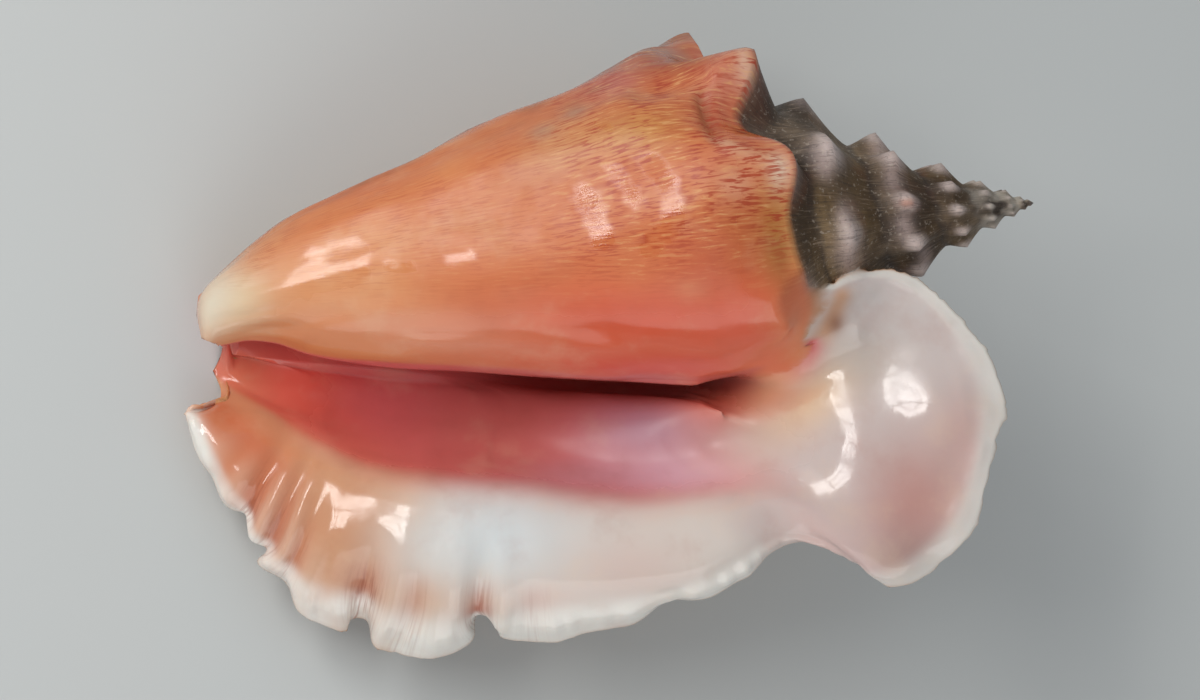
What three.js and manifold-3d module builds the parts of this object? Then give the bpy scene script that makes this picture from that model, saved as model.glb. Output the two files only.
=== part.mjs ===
// A large conch shell with a wide flared lip, lying on the back of its last whorl with the mouth up.
// Millimetres, +Z up, the point of the spire towards +X, the lip towards -Y, resting on z = 0.
import * as THREE from "three";
import Module from "manifold-3d";

// ---- the coiling axis: the point of the spire, then the directions towards the canal, the lip side and the mouth side
const AXIS_APEX = [106.23, 23.11, 85.38];
const AXIS_DIR = [-0.94606, -0, -0.32401];
const AXIS_LIP = [0.01638, -0.99872, -0.04782];
const AXIS_MOUTH = [-0.32359, -0.05055, 0.94485];
const AXIS_BEND_FROM = 145.04; // distance from the point where the axis starts to bend
const AXIS_BEND_SPAN = 75.11;
const AXIS_BEND = 8.03; // how far the end of the canal leans to the lip side
const AXIS_LENGTH = 220.15;

// ---- the shoulder helix: turns before the body whorl, distance along the axis, radius
const HELIX_TURN = [-0.6, -0.5, -0.25, -0.12, -0.069, -0.02, 0.05, 0.194, 0.35, 0.5, 0.75, 1, 1.5, 2, 2.5, 3, 3.5, 4, 4.5, 5, 5.5, 6, 6.5, 7, 7.5, 8];
const HELIX_U = [83.4, 83.4, 84.43, 84.43, 83.4, 77.7, 71.74, 67.86, 65.53, 63.71, 61.12, 58.02, 49.21, 39.89, 31.08, 24.61, 18.65, 14.25, 10.62, 7.51, 5.31, 3.5, 2.2, 1.29, 0.65, 0.16];
const HELIX_R = [58.02, 58.02, 57.5, 57.5, 57.5, 52.58, 47.91, 43.51, 41.44, 39.37, 36, 32.89, 27.45, 22.27, 17.09, 13.34, 10.23, 7.77, 5.96, 4.45, 3.19, 2.25, 1.58, 1.11, 0.73, 0.39];
const WHORL_COLUMNS = 36;
const WHORL_TURNS = 5;
const WHORL_ROWS = 5;

// ---- knobs on the shoulder: running count, and their share of the radius
const KNOB_TURN = [-0.6, -0.55, -0.38, -0.22, -0.069, 0.05, 0.194, 0.35, 0.51, 1, 2, 3, 4, 5, 8];
const KNOB_COUNT = [-4.3, -4, -3, -2, -1, 0, 1, 2, 3, 6, 14, 23.5, 33.5, 43.5, 70];
const KNOB_SHARE_TURN = [-0.6, -0.3, -0.069, 0.05, 0.194, 0.5, 0.8, 1, 1.5, 2, 3, 4, 6, 8];
const KNOB_SHARE = [0.1, 0.12, 0.19, 0.19, 0.17, 0.12, 0.1, 0.12, 0.17, 0.2, 0.2, 0.18, 0.12, 0.03];
// how far the shoulder steps back from the point between two knobs
const KNOB_STEP_TURN = [-0.6, -0.3, -0.01, 0.05, 0.12, 0.194, 0.27, 0.43, 0.75, 1.5, 2.5, 4, 8];
const KNOB_STEP = [2.07, 2.07, 3.11, 5.96, 10.1, 6.99, 3.11, 2.07, 1.55, 1.55, 1.19, 0.6, 0];
const KNOB_SHARPNESS = 1.35;
const KNOB_FADE = 0.085;
// height, angle, angle spread, place along the axis, spread of the swellings and hollows of the body whorl
const SWELLS = [
  [2.59, 244, 15, 85.47, 8.81], [6.73, 184, 18, 88.06, 9.32],
  [-2.59, 293, 13, 96.09, 10.88], [2.2, 262, 10, 96.87, 9.84],
  [2.59, 343, 22, 91.95, 12.95], [1.19, 358, 40, 204.1, 9.07],
  [-3, 345, 38, 131.05, 26.94], [3, 253, 11, 97.9, 8.03],
];

// ---- the suture between one whorl and the next
const SUTURE_TURN = [0.8, 1, 2, 3, 8];
const SUTURE_PLACE = [0.6, 0.58, 0.42, 0.4, 0.42];
const SUTURE_RADIUS = [0.955, 0.95, 0.87, 0.87, 0.86];

// ---- the body whorl below the shoulder: radius by angle round the axis (0 mouth side, 90 lip side)
const PROFILE_ANGLE = [120, 180, 270, 360, 450];
const PROFILE_SHARE = [0, 0.09, 0.19, 0.29, 0.39, 0.49, 0.58, 0.66, 0.76, 0.82, 0.88, 0.93, 0.96, 0.98, 0.993, 1];
const PROFILES = [[65.27, 64.75, 62.16, 58.53, 53.87, 49.21, 45.33, 41.7, 36.26, 32.63, 28.49, 25.38, 22.79, 20.2, 17.09, 12.95],
  [53.09, 53.87, 51.02, 46.36, 40.66, 35.48, 31.08, 27.71, 23.83, 21.24, 17.61, 14.5, 11.91, 9.58, 6.22, 0],
  [44.55, 46.1, 45.07, 40.4, 36.52, 31.6, 26.68, 23.57, 20.2, 17.87, 13.99, 10.36, 8.03, 5.96, 3.37, 0],
  [41.44, 41.96, 40.66, 38.07, 34.45, 30.56, 26.94, 23.83, 19.94, 17.61, 14.25, 11.91, 10.36, 8.81, 5.7, 0],
  [42.73, 41.7, 39.11, 36.52, 34.19, 31.6, 29.01, 26.68, 22.02, 17.87, 12.17, 9.84, 9.84, 10.36, 9.32, 0]];
const BODY_SHARES = [0, 0.03, 0.06, 0.1, 0.15, 0.22, 0.3, 0.38, 0.47, 0.56, 0.65, 0.73, 0.8, 0.86, 0.91, 0.95, 0.98, 0.993, 1];
const BODY_START = 250; // angle of the blind end of the hollow
const BLIND_ANGLE = [450, 480, 540, 610];
const BLIND_SHARE = [1, 0.93, 0.66, 0.55];
const OVERLAP_START = 2.33; // how far the whorl dips under the wall of the last half turn

// ---- the last half turn and the flared lip: outer edge, then rows of the inner face by station along the edge
const EDGE = [[35.6, 1, 90.1], [40.9, 3.6, 88.1], [47.3, 6.7, 87.1], [54.6, 8, 87.4], [61.1, 7.4, 88.6], [65.9, 4.4, 89.9], [70.2, 0.3, 91.7], [74.3, -5.9, 93.7], [78.9, -12.9, 95.9], [81, -18.8, 97.1], [82.8, -26.7, 98], [81.8, -33, 97.7], [79.4, -39.2, 97], [77.5, -45.4, 96.3], [73.7, -56.5, 94], [68.8, -64.3, 90.6], [63.1, -69.3, 86.5], [54.7, -72.6, 81.4], [50, -68.5, 78.6], [44.5, -65.1, 76.1], [37.4, -61.5, 73.7], [31.4, -60.5, 71.7], [26.1, -62, 69.2], [22.3, -65.4, 66.9], [18.4, -67.5, 64.4], [13.6, -70, 61.8], [7.8, -70.7, 59], [1.9, -71, 56.2], [-4.1, -74.5, 53], [-11.1, -75.7, 49.4], [-18, -76.5, 45.7], [-23.8, -77.6, 42.4], [-30.7, -76.9, 38.9], [-35.6, -75, 36.4], [-36.7, -72.8, 35.7], [-38.6, -71, 34.7], [-40.7, -74.2, 33.4], [-44.3, -77.1, 31.2], [-50.2, -78.5, 28], [-55.8, -78.1, 24.8], [-61.4, -76.2, 21.7], [-65.2, -72.9, 19.6], [-68.2, -69.2, 18.3], [-71.4, -69.9, 17.1], [-77.3, -66.7, 15.3], [-82, -62.5, 14.2], [-85.2, -56.2, 13.7], [-90.3, -49.7, 12.2], [-90, -45.4, 12.7], [-93, -39.9, 11.9], [-97, -35.1, 10.7], [-100.1, -27.5, 10.3], [-103.4, -20.8, 10], [-105.4, -14.1, 10], [-105.9, -10.5, 10.3], [-105, -9.3, 10.3], [-101.2, -9, 9.2]];
const ROW_STATION = [0, 3, 6, 8.5, 11, 14, 17, 19, 21, 24, 28, 32, 38, 42, 46, 50, 54, 55, 56];
const ROWS = [[[41.2, -9.6, 70.1], [41.1, -10.3, 72.2], [39.3, -12.2, 71.3], [37.9, -14.6, 67.3], [34.7, -17.8, 61.3], [30.6, -19.6, 55], [25.7, -20.4, 50.6], [22.9, -20.5, 47.1], [18.8, -19.6, 43.2], [12.4, -18.7, 38.2], [0.2, -16.8, 29.6], [-14.5, -14.4, 19.9], [-29.7, -11.6, 13.4], [-44.3, -9, 8.2], [-56.2, -5.8, 6.3], [-68.8, -3.2, 6.4], [-81.1, 2.2, 3.4], [-88.3, 4.8, 0.9], [-96.8, 6.5, -0]],
  [[40.8, -8.6, 74.4], [40.8, -9.2, 77.6], [39.7, -10.8, 76], [38.8, -13.2, 72.1], [36.3, -16.7, 66.4], [32, -21.5, 58.8], [26.7, -24.2, 54.7], [23.6, -26.4, 51.5], [18.5, -26.5, 48.2], [11.5, -26.1, 43.4], [-1.9, -25, 34.8], [-17.7, -23, 25.2], [-32.6, -20.2, 17.1], [-47, -17, 10.9], [-58.4, -13.1, 7.1], [-71.3, -8.9, 7.1], [-83.2, -2.5, 5], [-89.6, 1.3, 2.3], [-96.7, 4.7, -0.1]],
  [[38.7, -7.3, 81.1], [43, -5.9, 82], [46.5, -8.8, 80.2], [47.1, -13.3, 77.4], [43.7, -20.6, 75], [39.5, -29, 70.5], [33.6, -34.2, 63.2], [28.1, -35.8, 57.9], [22.8, -37, 54.9], [14.3, -37.3, 50.1], [-2.6, -36.1, 41.5], [-22.2, -32, 32.5], [-38.8, -28.6, 25.4], [-54, -25.4, 19.9], [-65.3, -20.4, 15.2], [-76.5, -13.8, 11.1], [-86.6, -5.8, 6], [-90.9, -1.8, 2.7], [-95.4, 2.3, -0.7]],
  [[37, -4.6, 86], [46.5, -2.1, 84.9], [53.5, -6.5, 83.4], [54.9, -13.7, 81.9], [52.6, -24.4, 82.6], [48.4, -36.6, 80.6], [37.3, -44.5, 74.1], [29.9, -44.1, 70], [22.9, -44.3, 66.6], [12.5, -44.7, 62.5], [-7.2, -44.1, 55], [-28.9, -39.1, 45.6], [-46.1, -35.4, 38.2], [-60.7, -31.9, 31.4], [-71.5, -26.4, 24.1], [-81.3, -17.5, 15.4], [-90.1, -8, 8.7], [-92.8, -4.9, 4.4], [-94.2, -0.7, -0.4]],
  [[36.3, -1.9, 88.1], [50.1, 1.7, 86.2], [59.6, -4.1, 86.2], [63, -14.3, 87.4], [62.1, -27.3, 89.7], [57.1, -43.6, 87.3], [42, -54.2, 80.6], [33.1, -51.1, 76.1], [23.5, -50.1, 72.6], [11.2, -53.4, 69.2], [-9.3, -56.2, 61.6], [-33.1, -53.5, 51.7], [-51.1, -51.5, 43.8], [-67.1, -47.1, 34.8], [-79.6, -39.2, 26.4], [-89.7, -24.2, 18.4], [-96.9, -10, 11.6], [-96.6, -7.7, 8], [-93.1, -4.7, 2.1]],
  [[36, -0.2, 89.1], [53, 5.8, 87.1], [66.6, -1.1, 90], [73.8, -15.4, 93.9], [74.7, -31, 96.1], [67.6, -52.5, 92.6], [49.5, -66.5, 83.2], [39.6, -61, 78], [28.3, -58, 73.8], [15.3, -63.5, 68.8], [-6.9, -69.1, 58.6], [-32.8, -70, 46], [-52.2, -70.4, 36.3], [-69.4, -63.3, 25.8], [-84.6, -52.6, 18.6], [-95.8, -33, 14.6], [-104.1, -10.8, 12.2], [-102.2, -9.5, 9.8], [-95.6, -7.7, 6.3]]];
// the second and third row on the outside of the wall, which is thick there
const BACK_ROWS = [[[40.8, -8.6, 74.4], [40.8, -9.2, 77.6], [39.7, -10.8, 76], [38.8, -13.2, 72.1], [36.3, -16.7, 66.4], [34.2, -21.4, 54.3], [30.9, -24, 46.1], [30.2, -26, 38], [25.4, -26.1, 33.7], [18.4, -25.7, 28.4], [4.2, -24.6, 21.1], [-12.9, -22.7, 13.6], [-29, -19.9, 7.8], [-44.2, -16.7, 3.4], [-57.2, -13, 3.8], [-70.7, -8.8, 5.2], [-82.9, -2.5, 4], [-89.6, 1.3, 2.3], [-96.7, 4.7, -0.1]],
  [[38.7, -7.3, 81.1], [43, -5.9, 82], [46.5, -8.8, 80.2], [47.1, -13.3, 77.4], [43.7, -20.6, 75], [41.8, -28.9, 66], [35.4, -34.2, 59.6], [30.6, -35.7, 53], [25.8, -36.9, 48.6], [17.8, -37.2, 42.8], [0.6, -36, 34.2], [-19.4, -31.9, 25.6], [-36.4, -28.5, 19.3], [-52.1, -25.2, 14.8], [-64.2, -20.3, 11.9], [-75.8, -13.7, 9.2], [-86.4, -5.7, 5.5], [-90.9, -1.8, 2.7], [-95.4, 2.3, -0.7]]];
const TUBE_ANGLE = [294, 270, 244, 216, 188, 160, 133];
const TUBE_STATION = [9, 13, 17, 20, 24, 28, 32, 38, 42, 46, 50, 54, 56];
const TUBE_SHARE = [0, 0.05, 0.14, 0.21, 0.3, 0.39, 0.48, 0.6, 0.68, 0.77, 0.85, 0.92, 0.95];
const ROW_PLACE = [0, 1, 2, 3.1, 4.3, 5.5, 6.7, 7.25, 7.8, 8.9, 9.9, 11.3, 12.9, 13.6];
const BACK_PLACE = [0, 1, 2, 3.1, 4.3, 5.5, 6.7, 7.8, 8.9, 9.9, 11.3, 12.9, 13.6];
const WALL = 4;
const RIM_DIP = 2.07;
const LAST_STATION = 56;
const STATIONS = [];
for (let e = 0; e <= LAST_STATION; e += e >= 41 && e < 52 ? 0.5 : 1) STATIONS.push(e);
const INNER_PLACES = [0, 1.5, 3.1, 4.3, 5.5, 6.7, 7.0, 7.25, 7.8, 8.4, 8.9, 9.4, 9.9, 10.6, 11.3, 12.1, 12.9, 13.6];
const OUTER_PLACES = [0, 0.5, 1, 1.5, 2, 2.55, 3.1, 3.7, 4.3, 4.9, 5.5, 6.1, 6.7, 7.6, 8.6, 9.6, 10.6, 11.8, 12.9, 13.6];
// folds of the lip: station, half width, height at the edge, place where the fold starts
const FOLDS = [
  [51.9, 0.8, 0.7, 11], [50.4, 0.6, 1, 11], [49.4, 0.55, -1.9, 10.7], [48.45, 0.55, 1.7, 10.7],
  [47.7, 0.48, -1.9, 10.7], [46.95, 0.5, 1.5, 10.9], [46.1, 0.55, -1.1, 11.2], [45, 0.7, 0.9, 11.6],
  [42, 0.85, -3.6, 11.7], [40.9, 0.7, 1, 12], [39.6, 0.7, -0.9, 11.8], [38.6, 0.7, 0.4, 12],
  [35, 1.3, -3.6, 11.8], [33.3, 0.7, 0.9, 12], [31.6, 0.7, -0.5, 12.2], [27, 1, -0.6, 12.2],
  [20.2, 1.6, -2.4, 11.2], [12.6, 1.8, -1.2, 11.6],
];

// ---- the worn spots it rests on
const FLOOR_BLOCK = [400, 400, 40];

const SHELL_COLOUR = 0xd9a889;
const SHELL_ROUGHNESS = 0.3;
const SHELL_METALNESS = 0;

const RAD = Math.PI / 180;
const clamp = (x, a, b) => Math.min(b, Math.max(a, x));
const ease = (x, a, b) => {
  const t = clamp((x - a) / (b - a), 0, 1);
  return t * t * (3 - 2 * t);
};
const add = (a, b, s = 1) => [a[0] + s * b[0], a[1] + s * b[1], a[2] + s * b[2]];
const cross = (a, b) => [a[1] * b[2] - a[2] * b[1], a[2] * b[0] - a[0] * b[2], a[0] * b[1] - a[1] * b[0]];
const unit = (a) => {
  const l = Math.hypot(...a) || 1;
  return [a[0] / l, a[1] / l, a[2] / l];
};

// monotone cubic through (x, y), held at its ends
function monotone(x, y) {
  const n = x.length,
    h = [],
    d = [],
    m = [];
  for (let i = 0; i < n - 1; i++) {
    h.push(x[i + 1] - x[i]);
    d.push((y[i + 1] - y[i]) / h[i]);
  }
  m.push(d[0]);
  for (let i = 1; i < n - 1; i++) {
    const a = 2 * h[i] + h[i - 1],
      b = h[i] + 2 * h[i - 1];
    m.push(d[i - 1] * d[i] > 0 ? (a + b) / (a / d[i - 1] + b / d[i]) : 0);
  }
  m.push(d[n - 2]);
  return (q) => {
    const v = clamp(q, x[0], x[n - 1]);
    let k = 0;
    while (k < n - 2 && v >= x[k + 1]) k++;
    const t = (v - x[k]) / h[k],
      t2 = t * t,
      t3 = t2 * t;
    return (2 * t3 - 3 * t2 + 1) * y[k] + (t3 - 2 * t2 + t) * h[k] * m[k] + (3 * t2 - 2 * t3) * y[k + 1] + (t3 - t2) * h[k] * m[k + 1];
  };
}

// natural cubic spline through points
function spline(x, points) {
  const n = x.length,
    h = [];
  for (let i = 0; i < n - 1; i++) h.push(x[i + 1] - x[i]);
  const second = points[0].map((_, c) => {
    const u = new Array(n).fill(0),
      z = new Array(n).fill(0),
      M = new Array(n).fill(0);
    for (let i = 1; i < n - 1; i++) {
      const r = 6 * ((points[i + 1][c] - points[i][c]) / h[i] - (points[i][c] - points[i - 1][c]) / h[i - 1]),
        p = 2 * (h[i] + h[i - 1]) - h[i - 1] * u[i - 1];
      u[i] = h[i] / p;
      z[i] = (r - h[i - 1] * z[i - 1]) / p;
    }
    for (let i = n - 2; i > 0; i--) M[i] = z[i] - u[i] * M[i + 1];
    return M;
  });
  return (q) => {
    let k = 0;
    while (k < n - 2 && q >= x[k + 1]) k++;
    const a = (x[k + 1] - q) / h[k],
      b = (q - x[k]) / h[k],
      s = (h[k] * h[k]) / 6;
    return second.map((M, c) => a * points[k][c] + b * points[k + 1][c] + ((a * a * a - a) * M[k] + (b * b * b - b) * M[k + 1]) * s);
  };
}

// ---- the coil
function place(u, r, angle) {
  const bend = AXIS_BEND * (Math.max(u - AXIS_BEND_FROM, 0) / AXIS_BEND_SPAN) ** 2;
  let p = add(AXIS_APEX, AXIS_DIR, u);
  p = add(p, AXIS_LIP, bend + r * Math.sin(angle * RAD));
  return add(p, AXIS_MOUTH, r * Math.cos(angle * RAD));
}
const helixR = monotone(HELIX_TURN, HELIX_R);
const knobCount = monotone(KNOB_TURN, KNOB_COUNT);
const knobShare = monotone(KNOB_SHARE_TURN, KNOB_SHARE);
const knob = (w) => (0.5 + 0.5 * Math.cos(2 * Math.PI * knobCount(w))) ** KNOB_SHARPNESS;
const knobStep = monotone(KNOB_STEP_TURN, KNOB_STEP);
const ridgeU = monotone(HELIX_TURN, HELIX_U);
const helixU = (w) => ridgeU(w) + knobStep(w) * (1 - knob(w));
const suturePlace = monotone(SUTURE_TURN, SUTURE_PLACE);
const sutureRadius = monotone(SUTURE_TURN, SUTURE_RADIUS);
const blindShare = monotone(BLIND_ANGLE, BLIND_SHARE);
const tubeShare = monotone(TUBE_STATION, TUBE_SHARE);
const turnOf = (angle) => (angle - 270) / 360;
const valley = (w) => helixR(w) * (1 - knobShare(w));
const shoulder = (w) => helixR(w) * (1 - knobShare(w) * (1 - knob(w)));

// between the shoulder of one turn (0) and the shoulder of the next turn down (1)
function slope(w, tau) {
  const s = suturePlace(w),
    r0 = shoulder(w),
    r1 = shoulder(w - 1),
    rs = helixR(w) * sutureRadius(w),
    x = clamp(tau / s, 0, 1),
    y = clamp((tau - s) / (1 - s), 0, 1);
  const r = tau < s ? r0 + (rs - r0) * (x * x * (3 - 2 * x) * 0.6 + 0.4 * x) : rs + (r1 - rs) * y ** 1.25;
  return [helixU(w) + (helixU(w - 1) - helixU(w)) * tau, r];
}

const profiles = PROFILES.map((p) => monotone(PROFILE_SHARE, p));
function profile(share, angle) {
  const x = PROFILE_ANGLE,
    y = profiles.map((p) => p(share)),
    n = x.length,
    q = clamp(angle, x[0], x[n - 1]);
  let k = 0;
  while (k < n - 2 && q >= x[k + 1]) k++;
  const d = (i) => (y[i + 1] - y[i]) / (x[i + 1] - x[i]);
  const m = (i) => {
    if (i === 0) return d(0);
    if (i === n - 1) return 0;
    const a = x[i] - x[i - 1],
      b = x[i + 1] - x[i];
    return (d(i) * a + d(i - 1) * b) / (a + b);
  };
  const h = x[k + 1] - x[k],
    t = (q - x[k]) / h,
    t2 = t * t,
    t3 = t2 * t;
  return (2 * t3 - 3 * t2 + 1) * y[k] + (t3 - 2 * t2 + t) * h * m(k) + (3 * t2 - 2 * t3) * y[k + 1] + (t3 - t2) * h * m(k + 1);
}
function bodyU(share, angle) {
  const u = helixU(turnOf(angle));
  return u + (AXIS_LENGTH - u) * share;
}
function bodyR(share, angle, knobs = true) {
  const w = turnOf(angle),
    fade = Math.exp(-((share / KNOB_FADE) ** 1.6));
  let r = profile(share, angle) + ((knobs ? shoulder(w) : valley(w)) - profile(0, angle)) * fade;
  if (knobs)
    for (const [height, at, spread, along, reach] of SWELLS)
      r += height * Math.exp(-(((angle - at) / spread) ** 2) - ((bodyU(share, angle) - along) / reach) ** 2);
  return r;
}
const bodyDip = (angle) => OVERLAP_START * ease(-angle, -266, -252);
const wallDip = (angle) => 0.39 * ease(angle, 262, 274) + 1.68 * ease(angle, 272, 294);
function columellaR(share, angle) {
  const b = ease(share, 0, 0.18);
  return shoulder(turnOf(angle)) * (1 - b) + bodyR(share, 450) * blindShare(angle) * b;
}

// triangles between two chains that share both ends
function zip(a, b, out, flip) {
  let i = 0,
    j = 0;
  const n = a.length - 1,
    m = b.length - 1;
  while (i < n || j < m) {
    const t = j >= m || (i < n && (i + 1) / n <= (j + 1) / m) ? [a[i], a[++i], b[j]] : [a[i], b[j + 1], b[j++]];
    if (new Set(t).size === 3) out.push(flip ? t.reverse() : t);
  }
}
function quad(a, b, c, d, out) {
  out.push([a, b, c], [a, c, d]);
}

function makeCoil() {
  const N = WHORL_COLUMNS,
    last = WHORL_TURNS * N,
    rows = WHORL_ROWS,
    M = BODY_SHARES.length - 1,
    V = [],
    T = [],
    start = turnOf(BODY_START) + 1;
  for (let k = 0; k <= last; k++)
    for (let i = 0; i < rows; i++) {
      const w = start + k / N,
        angle = 270 + 360 * w;
      let [u, r] = slope(w, i / rows);
      if (angle <= 640) r -= bodyDip(angle - 360) * ease(i / rows, suturePlace(w) * 0.9, 1);
      V.push(place(u, r, angle));
    }
  const base = V.length;
  for (let k = 0; k <= N; k++)
    for (let j = 0; j < M; j++) {
      const angle = BODY_START + (360 * k) / N,
        share = BODY_SHARES[j];
      V.push(place(bodyU(share, angle), angle <= 450 ? bodyR(share, angle) - bodyDip(angle) : columellaR(share, angle), angle));
    }
  const tip = V.push(place(AXIS_LENGTH, 0, 0)) - 1,
    peak = V.push(place(0, 0, 0)) - 1;
  const v = (k, i) => k * rows + i;
  const b = (k, j) => (j === 0 && k === N ? v(0, 0) : base + k * M + j);
  const row = (k, i) => (i < rows ? v(k, i) : k >= N ? v(k - N, 0) : b(k, 0));
  for (let k = 0; k < last; k++) for (let i = 0; i < rows; i++) quad(row(k, i + 1), row(k + 1, i + 1), row(k + 1, i), row(k, i), T);
  for (let k = 0; k < N; k++) {
    for (let j = 0; j < M - 1; j++) quad(b(k, j + 1), b(k + 1, j + 1), b(k + 1, j), b(k, j), T);
    T.push([tip, b(k + 1, M - 1), b(k, M - 1)]);
  }
  const inner = [],
    outer = [];
  for (let j = 0; j < M; j++) inner.push(b(N, j));
  for (let i = 0; i < rows; i++) outer.push(v(0, i));
  for (let j = 0; j < M; j++) outer.push(b(0, j));
  zip([...inner, tip], [...outer, tip], T, false);
  const loop = [];
  for (let k = last; k >= last - N; k--) loop.push(v(k, 0));
  for (let i = rows - 1; i > 0; i--) loop.push(v(last, i));
  loop.forEach((p, q) => T.push([peak, loop[(q + 1) % loop.length], p]));
  return [V, T];
}

// ---- the last half turn with the lip
function tubePoint(e, angle, depth, knobs) {
  const w = turnOf(angle),
    s = suturePlace(w + 1),
    tau = s + (1 - s) * clamp(e / 9, 0, 1);
  let u, r;
  if (e < 9) {
    [u, r] = slope(w + 1, tau);
    if (!knobs) r -= (shoulder(w) - valley(w)) * clamp((tau - s) / (1 - s), 0, 1) ** 1.25;
  } else {
    const share = tubeShare(e);
    u = bodyU(share, angle);
    r = bodyR(share, angle, knobs);
  }
  r -= RIM_DIP * ease(-e, -2, 0) + wallDip(angle) + depth;
  return place(u, Math.max(r, 1), angle);
}
const edge = spline(EDGE.map((_, i) => i), EDGE);
const rowSplines = ROWS.map((r) => spline(ROW_STATION, r));
const backSplines = [...BACK_ROWS.map((r) => spline(ROW_STATION, r)), ...rowSplines.slice(3)];
const tubeRows = (e) => TUBE_ANGLE.map((a) => tubePoint(e, a, WALL, false));
const section = (e) => spline(ROW_PLACE, [...tubeRows(e), ...rowSplines.map((s) => s(e)), edge(e)]);
const backSection = (e) => spline(BACK_PLACE, [...tubeRows(e), ...backSplines.map((s) => s(e)), edge(e)]);
const tubeAngle = spline(ROW_PLACE.slice(0, 7), TUBE_ANGLE.map((a) => [a]));
function fold(e, t) {
  let h = 0;
  for (const [at, width, height, from] of FOLDS) h += height * Math.exp(-(((e - at) / width) ** 2)) * ease(t, from - 1.2, 13);
  return h;
}
function thickness(e, t) {
  let h = WALL + 1.8 * Math.exp(-(((t - 10.2) / 1.1) ** 2)) * ease(e, 15, 24) - 1.3 * ease(t, 11.6, 13.6);
  h = h * (1 - 0.6 * ease(e, 54, 56)) - ease(-e, -3, 0);
  return Math.max(h, 1.2);
}

function makeLip() {
  const V = [],
    T = [],
    step = 0.02,
    end = ROW_PLACE[ROW_PLACE.length - 1],
    size = INNER_PLACES.length + 1 + OUTER_PLACES.length;
  for (const e of STATIONS) {
    const facing = (cut) => {
      const here = cut(e),
        before = cut(Math.max(e - step, 0)),
        after = cut(Math.min(e + step, LAST_STATION));
      return (t) => {
        const t0 = Math.max(t - step, 0),
          t1 = Math.min(t + step, end),
          n = unit(cross(add(after(t), before(t), -1), add(here(t1), here(t0), -1)));
        return [add(here(t), n, fold(e, t)), n];
      };
    };
    const face = facing(section),
      back = facing(backSection),
      rim = section(e);
    for (const t of INNER_PLACES) V.push(face(t)[0]);
    const [top, n] = face(end),
      half = thickness(e, end) / 2;
    V.push(add(add(top, n, -half), unit(add(rim(end), rim(end - step), -1)), half * 0.9));
    for (const t of [...OUTER_PLACES].reverse()) {
      const [p, m] = back(t),
        off = add(p, m, -thickness(e, t)),
        b = ease(t, 5.4, 7),
        wall = tubePoint(e, tubeAngle(Math.min(t, ROW_PLACE[6]))[0], 0, true);
      V.push(add(add([0, 0, 0], wall, 1 - b), off, b));
    }
  }
  const id = (i, j) => i * size + (j % size);
  for (let i = 0; i < STATIONS.length - 1; i++)
    for (let j = 0; j < size; j++) quad(id(i, j), id(i, j + 1), id(i + 1, j + 1), id(i + 1, j), T);
  const cap = INNER_PLACES.length;
  for (const [i, flip] of [[0, false], [STATIONS.length - 1, true]]) {
    const a = [],
      b = [];
    for (let j = cap; j >= 0; j--) a.push(id(i, j));
    for (let j = cap; j < size; j++) b.push(id(i, j));
    zip([...a, id(i, size - 1)], b, T, flip);
  }
  return [V, T];
}

// ---- join the coil and the lip, and wear the resting spots flat
const wasm = await Module();
wasm.setup();
function solid([V, T]) {
  const make = (tris) =>
    new wasm.Manifold(new wasm.Mesh({ numProp: 3, vertProperties: Float32Array.from(V.flat()), triVerts: Uint32Array.from(tris.flat()) }));
  const s = make(T);
  return s.volume() < 0 ? make(T.map((t) => [...t].reverse())) : s;
}
const block = new THREE.BoxGeometry(...FLOOR_BLOCK).translate(0, 0, -FLOOR_BLOCK[2] / 2);
const corners = [],
  faces = [],
  known = new Map(),
  spots = block.getAttribute("position");
const blockVertex = [];
for (let i = 0; i < spots.count; i++) {
  const p = [spots.getX(i), spots.getY(i), spots.getZ(i)],
    key = p.join();
  if (!known.has(key)) known.set(key, corners.push(p) - 1);
  blockVertex.push(known.get(key));
}
const blockIndex = block.getIndex();
for (let i = 0; i < blockIndex.count; i += 3) faces.push([0, 1, 2].map((c) => blockVertex[blockIndex.getX(i + c)]));

const joined = solid(makeCoil()).add(solid(makeLip())).subtract(solid([corners, faces]));
const whole = joined.decompose().sort((a, b) => b.volume() - a.volume())[0];
const shape = whole.getMesh();
const geometry = new THREE.BufferGeometry()
  .setAttribute("position", new THREE.BufferAttribute(Float32Array.from(shape.vertProperties), 3))
  .setIndex(new THREE.BufferAttribute(Uint32Array.from(shape.triVerts), 1));
geometry.computeVertexNormals();

const shell = new THREE.Mesh(
  geometry,
  new THREE.MeshStandardMaterial({ color: SHELL_COLOUR, roughness: SHELL_ROUGHNESS, metalness: SHELL_METALNESS }),
);
shell.name = "shell";
const group = new THREE.Group();
group.name = "conch_shell";
group.add(shell);
export default group;
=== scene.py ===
# A large conch shell with a wide flared lip, lying on the back of its last whorl with the mouth up.
import math
import bpy
import numpy as np
from mathutils import Matrix, Vector
from mathutils.kdtree import KDTree


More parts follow.
